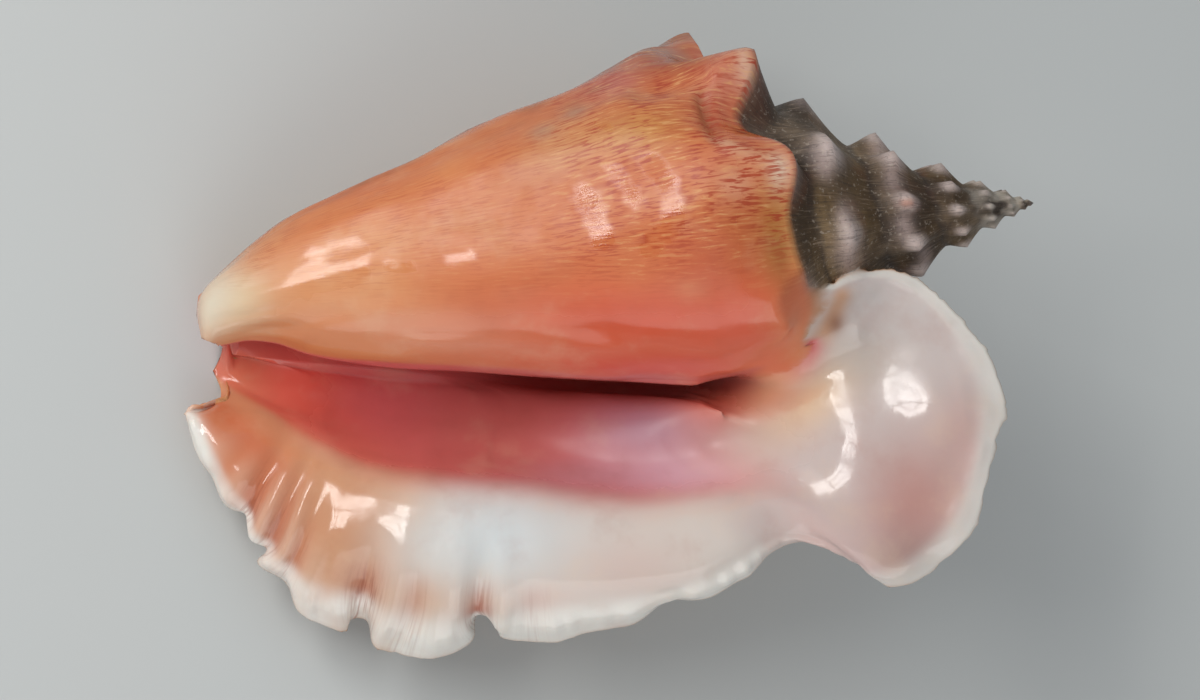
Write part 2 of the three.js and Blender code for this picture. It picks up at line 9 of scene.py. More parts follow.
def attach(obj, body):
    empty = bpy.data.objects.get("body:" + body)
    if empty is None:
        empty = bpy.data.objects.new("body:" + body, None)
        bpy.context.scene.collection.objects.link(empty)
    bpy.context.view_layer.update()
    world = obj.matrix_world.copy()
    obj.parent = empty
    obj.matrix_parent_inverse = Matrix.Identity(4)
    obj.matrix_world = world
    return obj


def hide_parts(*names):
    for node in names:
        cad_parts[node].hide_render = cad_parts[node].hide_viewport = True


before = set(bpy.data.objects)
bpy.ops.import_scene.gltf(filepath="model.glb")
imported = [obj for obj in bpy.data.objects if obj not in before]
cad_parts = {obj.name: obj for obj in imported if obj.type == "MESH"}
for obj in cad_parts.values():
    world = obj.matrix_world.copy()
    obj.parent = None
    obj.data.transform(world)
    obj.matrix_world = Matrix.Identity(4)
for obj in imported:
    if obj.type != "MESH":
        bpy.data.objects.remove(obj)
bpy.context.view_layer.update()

# Millimetres, +Z up, the point of the spire towards +X, the lip towards -Y, as in the CAD part.
AXIS_APEX = np.array([106.23, 23.11, 85.38])
AXIS_DIR = np.array([-0.94606, -0, -0.32401])
AXIS_LIP = np.array([0.01638, -0.99872, -0.04782])
AXIS_MOUTH = np.array([-0.32359, -0.05055, 0.94485])
AXIS_BEND_FROM = 145.04
AXIS_BEND_SPAN = 75.11
AXIS_BEND = 8.03
AXIS_LENGTH = 220.15
HELIX_TURN = [-0.6, -0.5, -0.25, -0.12, -0.069, -0.02, 0.05, 0.194, 0.35, 0.5, 0.75, 1, 1.5, 2, 2.5, 3, 3.5, 4, 4.5, 5, 5.5, 6, 6.5, 7, 7.5, 8]
HELIX_U = [83.4, 83.4, 84.43, 84.43, 83.4, 77.7, 71.74, 67.86, 65.53, 63.71, 61.12, 58.02, 49.21, 39.89, 31.08, 24.61, 18.65, 14.25, 10.62, 7.51, 5.31, 3.5, 2.2, 1.29, 0.65, 0.16]
HELIX_R = [58.02, 58.02, 57.5, 57.5, 57.5, 52.58, 47.91, 43.51, 41.44, 39.37, 36, 32.89, 27.45, 22.27, 17.09, 13.34, 10.23, 7.77, 5.96, 4.45, 3.19, 2.25, 1.58, 1.11, 0.73, 0.39]
KNOB_TURN = [-0.6, -0.55, -0.38, -0.22, -0.069, 0.05, 0.194, 0.35, 0.51, 1, 2, 3, 4, 5, 8]
KNOB_COUNT = [-4.3, -4, -3, -2, -1, 0, 1, 2, 3, 6, 14, 23.5, 33.5, 43.5, 70]
KNOB_SHARE_TURN = [-0.6, -0.3, -0.069, 0.05, 0.194, 0.5, 0.8, 1, 1.5, 2, 3, 4, 6, 8]
KNOB_SHARE = [0.1, 0.12, 0.19, 0.19, 0.17, 0.12, 0.1, 0.12, 0.17, 0.2, 0.2, 0.18, 0.12, 0.03]
KNOB_STEP_TURN = [-0.6, -0.3, -0.01, 0.05, 0.12, 0.194, 0.27, 0.43, 0.75, 1.5, 2.5, 4, 8]
KNOB_STEP = [2.07, 2.07, 3.11, 5.96, 10.1, 6.99, 3.11, 2.07, 1.55, 1.55, 1.19, 0.6, 0]
KNOB_SHARPNESS = 1.35
KNOB_FADE = 0.085
SWELLS = [
    [2.59, 244, 15, 85.47, 8.81], [6.73, 184, 18, 88.06, 9.32],
    [-2.59, 293, 13, 96.09, 10.88], [2.2, 262, 10, 96.87, 9.84],
    [2.59, 343, 22, 91.95, 12.95], [1.19, 358, 40, 204.1, 9.07],
    [-3, 345, 38, 131.05, 26.94], [3, 253, 11, 97.9, 8.03],
    ]
SUTURE_TURN = [0.8, 1, 2, 3, 8]
SUTURE_PLACE = [0.6, 0.58, 0.42, 0.4, 0.42]
SUTURE_RADIUS = [0.955, 0.95, 0.87, 0.87, 0.86]
PROFILE_ANGLE = [120, 180, 270, 360, 450]
PROFILE_SHARE = [0, 0.09, 0.19, 0.29, 0.39, 0.49, 0.58, 0.66, 0.76, 0.82, 0.88, 0.93, 0.96, 0.98, 0.993, 1]
PROFILES = [[65.27, 64.75, 62.16, 58.53, 53.87, 49.21, 45.33, 41.7, 36.26, 32.63, 28.49, 25.38, 22.79, 20.2, 17.09, 12.95],
    [53.09, 53.87, 51.02, 46.36, 40.66, 35.48, 31.08, 27.71, 23.83, 21.24, 17.61, 14.5, 11.91, 9.58, 6.22, 0],
    [44.55, 46.1, 45.07, 40.4, 36.52, 31.6, 26.68, 23.57, 20.2, 17.87, 13.99, 10.36, 8.03, 5.96, 3.37, 0],
    [41.44, 41.96, 40.66, 38.07, 34.45, 30.56, 26.94, 23.83, 19.94, 17.61, 14.25, 11.91, 10.36, 8.81, 5.7, 0],
    [42.73, 41.7, 39.11, 36.52, 34.19, 31.6, 29.01, 26.68, 22.02, 17.87, 12.17, 9.84, 9.84, 10.36, 9.32, 0]]
BODY_START = 250
BLIND_ANGLE = [450, 480, 540, 610]
BLIND_SHARE = [1, 0.93, 0.66, 0.55]
OVERLAP_START = 2.33
EDGE = np.array([[35.6, 1, 90.1], [40.9, 3.6, 88.1], [47.3, 6.7, 87.1], [54.6, 8, 87.4], [61.1, 7.4, 88.6], [65.9, 4.4, 89.9], [70.2, 0.3, 91.7], [74.3, -5.9, 93.7], [78.9, -12.9, 95.9], [81, -18.8, 97.1], [82.8, -26.7, 98], [81.8, -33, 97.7], [79.4, -39.2, 97], [77.5, -45.4, 96.3], [73.7, -56.5, 94], [68.8, -64.3, 90.6], [63.1, -69.3, 86.5], [54.7, -72.6, 81.4], [50, -68.5, 78.6], [44.5, -65.1, 76.1], [37.4, -61.5, 73.7], [31.4, -60.5, 71.7], [26.1, -62, 69.2], [22.3, -65.4, 66.9], [18.4, -67.5, 64.4], [13.6, -70, 61.8], [7.8, -70.7, 59], [1.9, -71, 56.2], [-4.1, -74.5, 53], [-11.1, -75.7, 49.4], [-18, -76.5, 45.7], [-23.8, -77.6, 42.4], [-30.7, -76.9, 38.9], [-35.6, -75, 36.4], [-36.7, -72.8, 35.7], [-38.6, -71, 34.7], [-40.7, -74.2, 33.4], [-44.3, -77.1, 31.2], [-50.2, -78.5, 28], [-55.8, -78.1, 24.8], [-61.4, -76.2, 21.7], [-65.2, -72.9, 19.6], [-68.2, -69.2, 18.3], [-71.4, -69.9, 17.1], [-77.3, -66.7, 15.3], [-82, -62.5, 14.2], [-85.2, -56.2, 13.7], [-90.3, -49.7, 12.2], [-90, -45.4, 12.7], [-93, -39.9, 11.9], [-97, -35.1, 10.7], [-100.1, -27.5, 10.3], [-103.4, -20.8, 10], [-105.4, -14.1, 10], [-105.9, -10.5, 10.3], [-105, -9.3, 10.3], [-101.2, -9, 9.2]])
ROW_STATION = [0, 3, 6, 8.5, 11, 14, 17, 19, 21, 24, 28, 32, 38, 42, 46, 50, 54, 55, 56]
ROWS = np.array([[[41.2, -9.6, 70.1], [41.1, -10.3, 72.2], [39.3, -12.2, 71.3], [37.9, -14.6, 67.3], [34.7, -17.8, 61.3], [30.6, -19.6, 55], [25.7, -20.4, 50.6], [22.9, -20.5, 47.1], [18.8, -19.6, 43.2], [12.4, -18.7, 38.2], [0.2, -16.8, 29.6], [-14.5, -14.4, 19.9], [-29.7, -11.6, 13.4], [-44.3, -9, 8.2], [-56.2, -5.8, 6.3], [-68.8, -3.2, 6.4], [-81.1, 2.2, 3.4], [-88.3, 4.8, 0.9], [-96.8, 6.5, -0]],
    [[40.8, -8.6, 74.4], [40.8, -9.2, 77.6], [39.7, -10.8, 76], [38.8, -13.2, 72.1], [36.3, -16.7, 66.4], [32, -21.5, 58.8], [26.7, -24.2, 54.7], [23.6, -26.4, 51.5], [18.5, -26.5, 48.2], [11.5, -26.1, 43.4], [-1.9, -25, 34.8], [-17.7, -23, 25.2], [-32.6, -20.2, 17.1], [-47, -17, 10.9], [-58.4, -13.1, 7.1], [-71.3, -8.9, 7.1], [-83.2, -2.5, 5], [-89.6, 1.3, 2.3], [-96.7, 4.7, -0.1]],
    [[38.7, -7.3, 81.1], [43, -5.9, 82], [46.5, -8.8, 80.2], [47.1, -13.3, 77.4], [43.7, -20.6, 75], [39.5, -29, 70.5], [33.6, -34.2, 63.2], [28.1, -35.8, 57.9], [22.8, -37, 54.9], [14.3, -37.3, 50.1], [-2.6, -36.1, 41.5], [-22.2, -32, 32.5], [-38.8, -28.6, 25.4], [-54, -25.4, 19.9], [-65.3, -20.4, 15.2], [-76.5, -13.8, 11.1], [-86.6, -5.8, 6], [-90.9, -1.8, 2.7], [-95.4, 2.3, -0.7]],
    [[37, -4.6, 86], [46.5, -2.1, 84.9], [53.5, -6.5, 83.4], [54.9, -13.7, 81.9], [52.6, -24.4, 82.6], [48.4, -36.6, 80.6], [37.3, -44.5, 74.1], [29.9, -44.1, 70], [22.9, -44.3, 66.6], [12.5, -44.7, 62.5], [-7.2, -44.1, 55], [-28.9, -39.1, 45.6], [-46.1, -35.4, 38.2], [-60.7, -31.9, 31.4], [-71.5, -26.4, 24.1], [-81.3, -17.5, 15.4], [-90.1, -8, 8.7], [-92.8, -4.9, 4.4], [-94.2, -0.7, -0.4]],
    [[36.3, -1.9, 88.1], [50.1, 1.7, 86.2], [59.6, -4.1, 86.2], [63, -14.3, 87.4], [62.1, -27.3, 89.7], [57.1, -43.6, 87.3], [42, -54.2, 80.6], [33.1, -51.1, 76.1], [23.5, -50.1, 72.6], [11.2, -53.4, 69.2], [-9.3, -56.2, 61.6], [-33.1, -53.5, 51.7], [-51.1, -51.5, 43.8], [-67.1, -47.1, 34.8], [-79.6, -39.2, 26.4], [-89.7, -24.2, 18.4], [-96.9, -10, 11.6], [-96.6, -7.7, 8], [-93.1, -4.7, 2.1]],
    [[36, -0.2, 89.1], [53, 5.8, 87.1], [66.6, -1.1, 90], [73.8, -15.4, 93.9], [74.7, -31, 96.1], [67.6, -52.5, 92.6], [49.5, -66.5, 83.2], [39.6, -61, 78], [28.3, -58, 73.8], [15.3, -63.5, 68.8], [-6.9, -69.1, 58.6], [-32.8, -70, 46], [-52.2, -70.4, 36.3], [-69.4, -63.3, 25.8], [-84.6, -52.6, 18.6], [-95.8, -33, 14.6], [-104.1, -10.8, 12.2], [-102.2, -9.5, 9.8], [-95.6, -7.7, 6.3]]])
BACK_ROWS = np.array([[[40.8, -8.6, 74.4], [40.8, -9.2, 77.6], [39.7, -10.8, 76], [38.8, -13.2, 72.1], [36.3, -16.7, 66.4], [34.2, -21.4, 54.3], [30.9, -24, 46.1], [30.2, -26, 38], [25.4, -26.1, 33.7], [18.4, -25.7, 28.4], [4.2, -24.6, 21.1], [-12.9, -22.7, 13.6], [-29, -19.9, 7.8], [-44.2, -16.7, 3.4], [-57.2, -13, 3.8], [-70.7, -8.8, 5.2], [-82.9, -2.5, 4], [-89.6, 1.3, 2.3], [-96.7, 4.7, -0.1]],
    [[38.7, -7.3, 81.1], [43, -5.9, 82], [46.5, -8.8, 80.2], [47.1, -13.3, 77.4], [43.7, -20.6, 75], [41.8, -28.9, 66], [35.4, -34.2, 59.6], [30.6, -35.7, 53], [25.8, -36.9, 48.6], [17.8, -37.2, 42.8], [0.6, -36, 34.2], [-19.4, -31.9, 25.6], [-36.4, -28.5, 19.3], [-52.1, -25.2, 14.8], [-64.2, -20.3, 11.9], [-75.8, -13.7, 9.2], [-86.4, -5.7, 5.5], [-90.9, -1.8, 2.7], [-95.4, 2.3, -0.7]]])
BACK_PLACE = [0, 1, 2, 3.1, 4.3, 5.5, 6.7, 7.8, 8.9, 9.9, 11.3, 12.9, 13.6]
TUBE_ANGLE = [294, 270, 244, 216, 188, 160, 133]
TUBE_STATION = [9, 13, 17, 20, 24, 28, 32, 38, 42, 46, 50, 54, 56]
TUBE_SHARE = [0, 0.05, 0.14, 0.21, 0.3, 0.39, 0.48, 0.6, 0.68, 0.77, 0.85, 0.92, 0.95]
ROW_PLACE = [0, 1, 2, 3.1, 4.3, 5.5, 6.7, 7.25, 7.8, 8.9, 9.9, 11.3, 12.9, 13.6]
WALL = 4
RIM_DIP = 2.07
FOLDS = [
    [51.9, 0.8, 0.7, 11], [50.4, 0.6, 1, 11], [49.4, 0.55, -1.9, 10.7], [48.45, 0.55, 1.7, 10.7],
    [47.7, 0.48, -1.9, 10.7], [46.95, 0.5, 1.5, 10.9], [46.1, 0.55, -1.1, 11.2], [45, 0.7, 0.9, 11.6],
    [42, 0.85, -3.6, 11.7], [40.9, 0.7, 1, 12], [39.6, 0.7, -0.9, 11.8], [38.6, 0.7, 0.4, 12],
    [35, 1.3, -3.6, 11.8], [33.3, 0.7, 0.9, 12], [31.6, 0.7, -0.5, 12.2], [27, 1, -0.6, 12.2],
    [20.2, 1.6, -2.4, 11.2], [12.6, 1.8, -1.2, 11.6],
    ]
EDGE_THIN = 1.3

# the view from the mouth side
VIEW_FROM = np.array([-349.11, -46.98, 823.77])
VIEW_RIGHT = np.array([0.91149, -0.10263, 0.39832])
VIEW_UP = np.array([0.07365, 0.99344, 0.08743])
VIEW_BACK = np.array([-0.40468, -0.05035, 0.91307])
VIEW_SCALE = 0.259
VIEW_DISTANCE = 850.0
# line of the crease between the whorl and the wing
CREASE = [(752, 397), (800, 368), (824, 345), (826, 318), (813, 304)]
# creases and ridges of the shoulder and the spire: line, width, height
SHOULDER_MARKS = [
    ([(702, 96), (709, 120), (716, 140)], 6, -1.6),
    ([(716, 143), (745, 153), (776, 165)], 7, 0.9),
    ([(716, 72), (732, 60), (745, 56)], 8, 0.9),
    ([(640, 92), (676, 86), (702, 78)], 9, -1.0),
]


# ---- small tools -------------------------------------------------------------------------------
def clamp(x, a, b):
    return np.minimum(b, np.maximum(a, x))


def ease(x, a, b):
    t = clamp((np.asarray(x, float) - a) / (b - a), 0.0, 1.0)
    return t * t * (3 - 2 * t)


def bump(x, at, width):
    return np.exp(-(((np.asarray(x, float) - at) / width) ** 2))


def monotone(x, y, q):
    x = np.asarray(x, float)
    y = np.asarray(y, float)
    h = np.diff(x)
    d = np.diff(y) / h
    m = np.empty_like(y)
    m[0], m[-1] = d[0], d[-1]
    a = 2 * h[1:] + h[:-1]
    b = h[1:] + 2 * h[:-1]
    same = d[:-1] * d[1:] > 0
    d0 = np.where(same, d[:-1], 1.0)
    d1 = np.where(same, d[1:], 1.0)
    m[1:-1] = np.where(same, (a + b) / (a / d0 + b / d1), 0.0)
    q = clamp(np.asarray(q, float), x[0], x[-1])
    k = np.clip(np.searchsorted(x, q, side="right") - 1, 0, len(x) - 2)
    t = (q - x[k]) / h[k]
    return (2 * t**3 - 3 * t**2 + 1) * y[k] + (t**3 - 2 * t**2 + t) * h[k] * m[k] + (3 * t**2 - 2 * t**3) * y[k + 1] + (t**3 - t**2) * h[k] * m[k + 1]


def spline(x, y, q):
    """Natural cubic spline through y (along its first axis) at q."""
    x = np.asarray(x, float)
    y = np.asarray(y, float)
    n = len(x)
    h = np.diff(x)
    A = np.zeros((n, n))
    A[0, 0] = A[-1, -1] = 1
    shape = (n - 1,) + (1,) * (y.ndim - 1)
    d = np.diff(y, axis=0) / h.reshape(shape)
    R = np.zeros_like(y)
    for i in range(1, n - 1):
        A[i, i - 1], A[i, i], A[i, i + 1] = h[i - 1], 2 * (h[i - 1] + h[i]), h[i]
        R[i] = 6 * (d[i] - d[i - 1])
    M = np.linalg.solve(A, R.reshape(n, -1)).reshape(y.shape)
    q = np.asarray(q, float)
    k = np.clip(np.searchsorted(x, q, side="right") - 1, 0, n - 2)
    s = (len(q),) + (1,) * (y.ndim - 1)
    a = ((x[k + 1] - q) / h[k]).reshape(s)
    b = ((q - x[k]) / h[k]).reshape(s)
    c = (h[k] ** 2 / 6).reshape(s)
    return a * y[k] + b * y[k + 1] + ((a**3 - a) * M[k] + (b**3 - b) * M[k + 1]) * c


def hash3(i, j, k):
    v = (i * 73856093) ^ (j * 19349663) ^ (k * 83492791)
    v = (v ^ (v >> 13)) * 1274126177
    v = v & 0x7FFFFFFF
    v = (v ^ (v >> 15)) * 668265263
    return ((v & 0x7FFFFFFF) % 65536) / 32767.5 - 1.0


def noise(p):
    """Smooth value noise in -1..1."""
    p = np.asarray(p, float)
    i = np.floor(p).astype(np.int64)
    f = p - i
    f = f * f * f * (f * (6 * f - 15) + 10)
    out = 0
    for dx in (0, 1):
        for dy in (0, 1):
            for dz in (0, 1):
                w = (f[..., 0] if dx else 1 - f[..., 0]) * (f[..., 1] if dy else 1 - f[..., 1]) * (f[..., 2] if dz else 1 - f[..., 2])
                out = out + w * hash3(i[..., 0] + dx, i[..., 1] + dy, i[..., 2] + dz)
    return out


def noise2(x, y, seed=0.0):
    x, y = np.broadcast_arrays(np.asarray(x, float), np.asarray(y, float))
    return noise(np.stack([x, y, np.full(x.shape, seed)], -1))


# ---- the coil ----------------------------------------------------------------------------------
def place(u, r, angle):
    u, r, angle = np.broadcast_arrays(np.asarray(u, float), np.asarray(r, float), np.asarray(angle, float))
    bend = AXIS_BEND * (np.maximum(u - AXIS_BEND_FROM, 0) / AXIS_BEND_SPAN) ** 2
    s = bend + r * np.sin(np.radians(angle))
    c = r * np.cos(np.radians(angle))
    return AXIS_APEX + u[..., None] * AXIS_DIR + s[..., None] * AXIS_LIP + c[..., None] * AXIS_MOUTH


def turn_of(angle):
    return (np.asarray(angle, float) - 270) / 360


def knob(w):
    return (0.5 + 0.5 * np.cos(2 * np.pi * monotone(KNOB_TURN, KNOB_COUNT, w))) ** KNOB_SHARPNESS


def helix_u(w):
    """Distance along the axis; the shoulder steps back from the point between two knobs."""
    return monotone(HELIX_TURN, HELIX_U, w) + monotone(KNOB_STEP_TURN, KNOB_STEP, w) * (1 - knob(w))


def helix_r(w):
    return monotone(HELIX_TURN, HELIX_R, w)


def knob_share(w):
    return monotone(KNOB_SHARE_TURN, KNOB_SHARE, w)


def valley(w):
    return helix_r(w) * (1 - knob_share(w))


def shoulder(w):
    return helix_r(w) * (1 - knob_share(w) * (1 - knob(w)))


def suture_place(w):
    return monotone(SUTURE_TURN, SUTURE_PLACE, w)


def slope(w, tau):
    s = suture_place(w)
    r0, r1 = shoulder(w), shoulder(w - 1)
    rs = helix_r(w) * monotone(SUTURE_TURN, SUTURE_RADIUS, w)
    x = clamp(tau / s, 0, 1)
    y = clamp((tau - s) / (1 - s), 0, 1)
    r = np.where(tau < s, r0 + (rs - r0) * (x * x * (3 - 2 * x) * 0.6 + 0.4 * x), rs + (r1 - rs) * y**1.25)
    u0, u1 = helix_u(w), helix_u(w - 1)
    return u0 + (u1 - u0) * tau, r


def profile(share, angle):
    share, angle = np.broadcast_arrays(np.asarray(share, float), np.asarray(angle, float))
    x = np.array(PROFILE_ANGLE, float)
    y = np.stack([monotone(PROFILE_SHARE, p, share) for p in PROFILES]).reshape(len(x), -1)
    h = np.diff(x)
    d = np.diff(y, axis=0) / h[:, None]
    m = np.empty_like(y)
    m[1:-1] = (d[1:] * h[:-1, None] + d[:-1] * h[1:, None]) / (h[1:] + h[:-1])[:, None]
    m[0] = d[0]
    m[-1] = 0
    q = clamp(angle.ravel(), x[0], x[-1])
    k = np.clip(np.searchsorted(x, q, side="right") - 1, 0, len(x) - 2)
    j = np.arange(len(q))
    t = (q - x[k]) / h[k]
    r = (2 * t**3 - 3 * t**2 + 1) * y[k, j] + (t**3 - 2 * t**2 + t) * h[k] * m[k, j] + (3 * t**2 - 2 * t**3) * y[k + 1, j] + (t**3 - t**2) * h[k] * m[k + 1, j]
    return r.reshape(share.shape)


def body_u(share, angle):
    u = helix_u(turn_of(angle))
    return u + (AXIS_LENGTH - u) * share


def body_r(share, angle, knobs=True):
    share, angle = np.broadcast_arrays(np.asarray(share, float), np.asarray(angle, float))
    w = turn_of(angle)
    fade = np.exp(-((share / KNOB_FADE) ** 1.6))
    r = profile(share, angle) + ((shoulder(w) if knobs else valley(w)) - profile(0.0, angle)) * fade
    if knobs:
        for height, at, spread, along, reach in SWELLS:
            r = r + height * np.exp(-(((angle - at) / spread) ** 2) - ((body_u(share, angle) - along) / reach) ** 2)
    return r


def body_dip(angle):
    return OVERLAP_START * ease(-np.asarray(angle, float), -266, -252)


def wall_dip(angle):
    return 0.39 * ease(angle, 262, 274) + 1.68 * ease(angle, 272, 294)


def columella_r(share, angle):
    b = ease(share, 0, 0.18)
    return shoulder(turn_of(angle)) * (1 - b) + body_r(share, 450.0 + 0 * np.asarray(angle, float)) * monotone(BLIND_ANGLE, BLIND_SHARE, angle) * b


def zip_chains(a, b):
    t = []
    i = j = 0
    n, m = len(a) - 1, len(b) - 1
    while i < n or j < m:
        if j >= m or (i < n and (i + 1) / n <= (j + 1) / m):
            t.append((a[i], a[i + 1], b[j]))
            i += 1
        else:
            t.append((a[i], b[j + 1], b[j]))
            j += 1
    return [f for f in t if len(set(f)) == 3]


def coil_mesh(N, turns, rows, shares):
    """Vertices, faces and (kind, turn, place, angle) per vertex of the spire and body whorl."""
    shares = np.asarray(shares, float)
    M = len(shares) - 1
    last = turns * N
    k, i = np.meshgrid(np.arange(last + 1), np.arange(rows), indexing="ij")
    w = turn_of(BODY_START) + 1 + k / N
    tau = i / rows
    u, r = slope(w, tau)
    angle = 270 + 360 * w
    r = np.where(angle <= 640, r - body_dip(angle - 360) * ease(tau, suture_place(w) * 0.9, 1), r)
    r = r + skin_relief(u, angle, w) * np.minimum(1, r / 12)
    V1 = place(u, r, angle).reshape(-1, 3)
    P1 = np.stack([np.zeros_like(w), w, tau, angle], -1).reshape(-1, 4)
    k, j = np.meshgrid(np.arange(N + 1), np.arange(M), indexing="ij")
    angle = BODY_START + 360 * k / N
    share = shares[j]
    u = body_u(share, angle)
    r = np.where(angle <= 450, body_r(share, np.minimum(angle, 450)) - body_dip(angle), columella_r(share, np.maximum(angle, 450)))
    r = r + np.where(angle <= 440, body_relief(u, angle, share), 0)
    V2 = place(u, r, angle).reshape(-1, 3)
    P2 = np.stack([np.ones_like(share), turn_of(angle), share, angle], -1).reshape(-1, 4)
    base = len(V1)
    tip = base + len(V2)
    V = np.concatenate([V1, V2, [place(AXIS_LENGTH, 0, 0)], [place(-0.15, 0, 0)]])
    P = np.concatenate([P1, P2, [[1, 0, 1, 360]], [[0, 8, 0, 360]]])

    def v(k, i):
        return k * rows + i

    def b(k, j):
        return v(0, 0) if j == 0 and k == N else base + k * M + j

    def row(k, i):
        return v(k, i) if i < rows else (v(k - N, 0) if k >= N else b(k, 0))

    F = []
    for k in range(last):
        for i in range(rows):
            F.append((row(k, i + 1), row(k + 1, i + 1), row(k + 1, i), row(k, i)))
    for k in range(N):
        for j in range(M - 1):
            F.append((b(k, j + 1), b(k + 1, j + 1), b(k + 1, j), b(k, j)))
        F.append((tip, b(k + 1, M - 1), b(k, M - 1)))
    F += zip_chains([b(N, j) for j in range(M)] + [tip], [v(0, i) for i in range(rows)] + [b(0, j) for j in range(M)] + [tip])
    loop = [v(k, 0) for k in range(last, last - N - 1, -1)] + [v(last, i) for i in range(rows - 1, 0, -1)]
    F += [(tip + 1, loop[(q + 1) % len(loop)], loop[q]) for q in range(len(loop))]
    return V, F, P


# ---- the last half turn with the lip -----------------------------------------------------------
def tube_point(e, angle, depth, knobs):
    e, angle = np.broadcast_arrays(np.asarray(e, float), np.asarray(angle, float))
    w = turn_of(angle)
    s = suture_place(w + 1)
    tau = s + (1 - s) * clamp(e / 9, 0, 1)
    u1, r1 = slope(w + 1, tau)
    if not knobs:
        r1 = r1 - (shoulder(w) - valley(w)) * clamp((tau - s) / (1 - s), 0, 1) ** 1.25
    share = monotone(TUBE_STATION, TUBE_SHARE, e)
    u = np.where(e < 9, u1, body_u(share, angle))
    r = np.where(e < 9, r1, body_r(share, angle, knobs))
    if knobs:
        r = r + np.where(e < 9, 0, body_relief(u, angle, share)) * ease(e, 8, 12)
    r = r - (RIM_DIP * ease(-e, -2, 0) + wall_dip(angle) + depth)
    return place(u, np.maximum(r, 1.0), angle)


def fold(e, t):
    h = 0.0
    for at, width, height, start in FOLDS:
        h = h + height * np.exp(-(((e - at) / width) ** 2)) * ease(t, start - 1.2, 13)
    return h


def thickness(e, t):
    h = WALL + 1.8 * np.exp(-(((t - 10.2) / 1.1) ** 2)) * ease(e, 15, 24) - EDGE_THIN * ease(t, 11.6, 13.6)
    h = h * (1 - 0.6 * ease(e, 54, 56)) - ease(-e, -3, 0)
    return np.maximum(h, 1.2)


def grid_normals(S):
    n = np.cross(np.gradient(S, axis=0), np.gradient(S, axis=1))
    return n / (np.linalg.norm(n, axis=-1, keepdims=True) + 1e-12)


def lip_mesh(es, t_in, t_out, caps):
    """Vertices, faces and (kind, station, place, angle) per vertex: kind 2 inner face, 3 edge, 4 outer face."""
    es = np.asarray(es, float)
    tube = [tube_point(es, a, WALL, False) for a in TUBE_ANGLE]
    rows = [spline(ROW_STATION, r, es) for r in ROWS]
    rim = [spline(np.arange(len(EDGE)), EDGE, es)]
    front = np.stack(tube + rows + rim)
    back = np.stack(tube + [spline(ROW_STATION, r, es) for r in BACK_ROWS] + rows[3:] + rim)
    end = ROW_PLACE[-1]

    def face(ts, places, R):
        S = spline(places, R, ts).transpose(1, 0, 2)
        n = grid_normals(S)
        E, T = np.meshgrid(es, ts, indexing="ij")
        return S + n * (fold(E, T) + lip_relief(E, T, S))[..., None], n, E, T

    S, n, E, T = face(np.asarray(t_in, float), ROW_PLACE, front)
    O, m, EO, TO = face(np.asarray(t_out, float), BACK_PLACE, back)
    off = O - m * thickness(EO, TO)[..., None]
    angle = spline(ROW_PLACE[:7], np.array(TUBE_ANGLE, float)[:, None], np.minimum(t_out, ROW_PLACE[6]))[:, 0]
    wall = tube_point(es[:, None], angle[None, :], 0.0, True)
    b = ease(TO, 5.4, 7)[..., None]
    off = wall * (1 - b) + off * b
    tangent = S[:, -1] - S[:, -2]
    tangent /= np.linalg.norm(tangent, axis=-1, keepdims=True)
    mid = (S[:, -1] + off[:, -1]) / 2
    half = (S[:, -1] - off[:, -1]) / 2
    size = np.linalg.norm(half, axis=-1, keepdims=True)
    beads = edge_beads(es)[:, None]
    ring = [mid + half * np.cos(np.pi * c / (caps + 1)) + tangent * size * np.sin(np.pi * c / (caps + 1)) * (0.9 + beads) for c in range(1, caps + 1)]
    L = np.concatenate([S] + [c[:, None] for c in ring] + [off[:, ::-1]], 1)
    P = np.zeros(L.shape[:2] + (4,))
    a, c = S.shape[1], S.shape[1] + caps
    P[..., 1] = es[:, None]
    P[:, :a, 0] = 2
    P[:, a:c, 0] = 3
    P[:, c:, 0] = 4
    P[:, :a, 2] = T
    P[:, a:c, 2] = end
    P[:, c:, 2] = TO[:, ::-1]
    P[:, c:, 3] = angle[None, ::-1]
    count, size = L.shape[:2]
    F = []
    for i in range(count - 1):
        p, q = i * size, (i + 1) * size
        for j in range(size):
            k = (j + 1) % size
            F.append((q + j, q + k, p + k, p + j))
    cap = a + caps // 2
    for i, flip in ((0, False), (count - 1, True)):
        A = [i * size + j for j in range(cap, -1, -1)] + [i * size + size - 1]
        B = [i * size + j for j in range(cap, size)]
        for f in zip_chains(A, B):
            F.append(f if flip else f[::-1])
    return L.reshape(-1, 3), F, P.reshape(-1, 4)


# ---- the finer relief ---------------------------------------------------------------------------
def skin_relief(u, angle, w):
    g = noise2(angle * 0.05, u * 0.12, 3.0) * 0.35 + noise2(angle * 0.16, u * 0.10, 5.0) * 0.22
    return g


def body_relief(u, angle, share):
    g = noise2(angle * 0.035, u * 0.05, 11.0) * 0.45 + noise2(angle * 0.085, u * 0.075, 13.0) * 0.34 + noise2(angle * 0.22, u * 0.13, 17.0) * 0.07
    return g * ease(share, 0.0, 0.04) * ease(-share, -1.0, -0.9)


def seen(p):
    d = p - VIEW_FROM
    depth = -(d @ VIEW_BACK)
    return 600 + (d @ VIEW_RIGHT) / depth * VIEW_DISTANCE / VIEW_SCALE, 350 - (d @ VIEW_UP) / depth * VIEW_DISTANCE / VIEW_SCALE


def spot(x, y, at, reach):
    return np.exp(-(((x - at[0]) / reach[0]) ** 2) - ((y - at[1]) / reach[1]) ** 2)


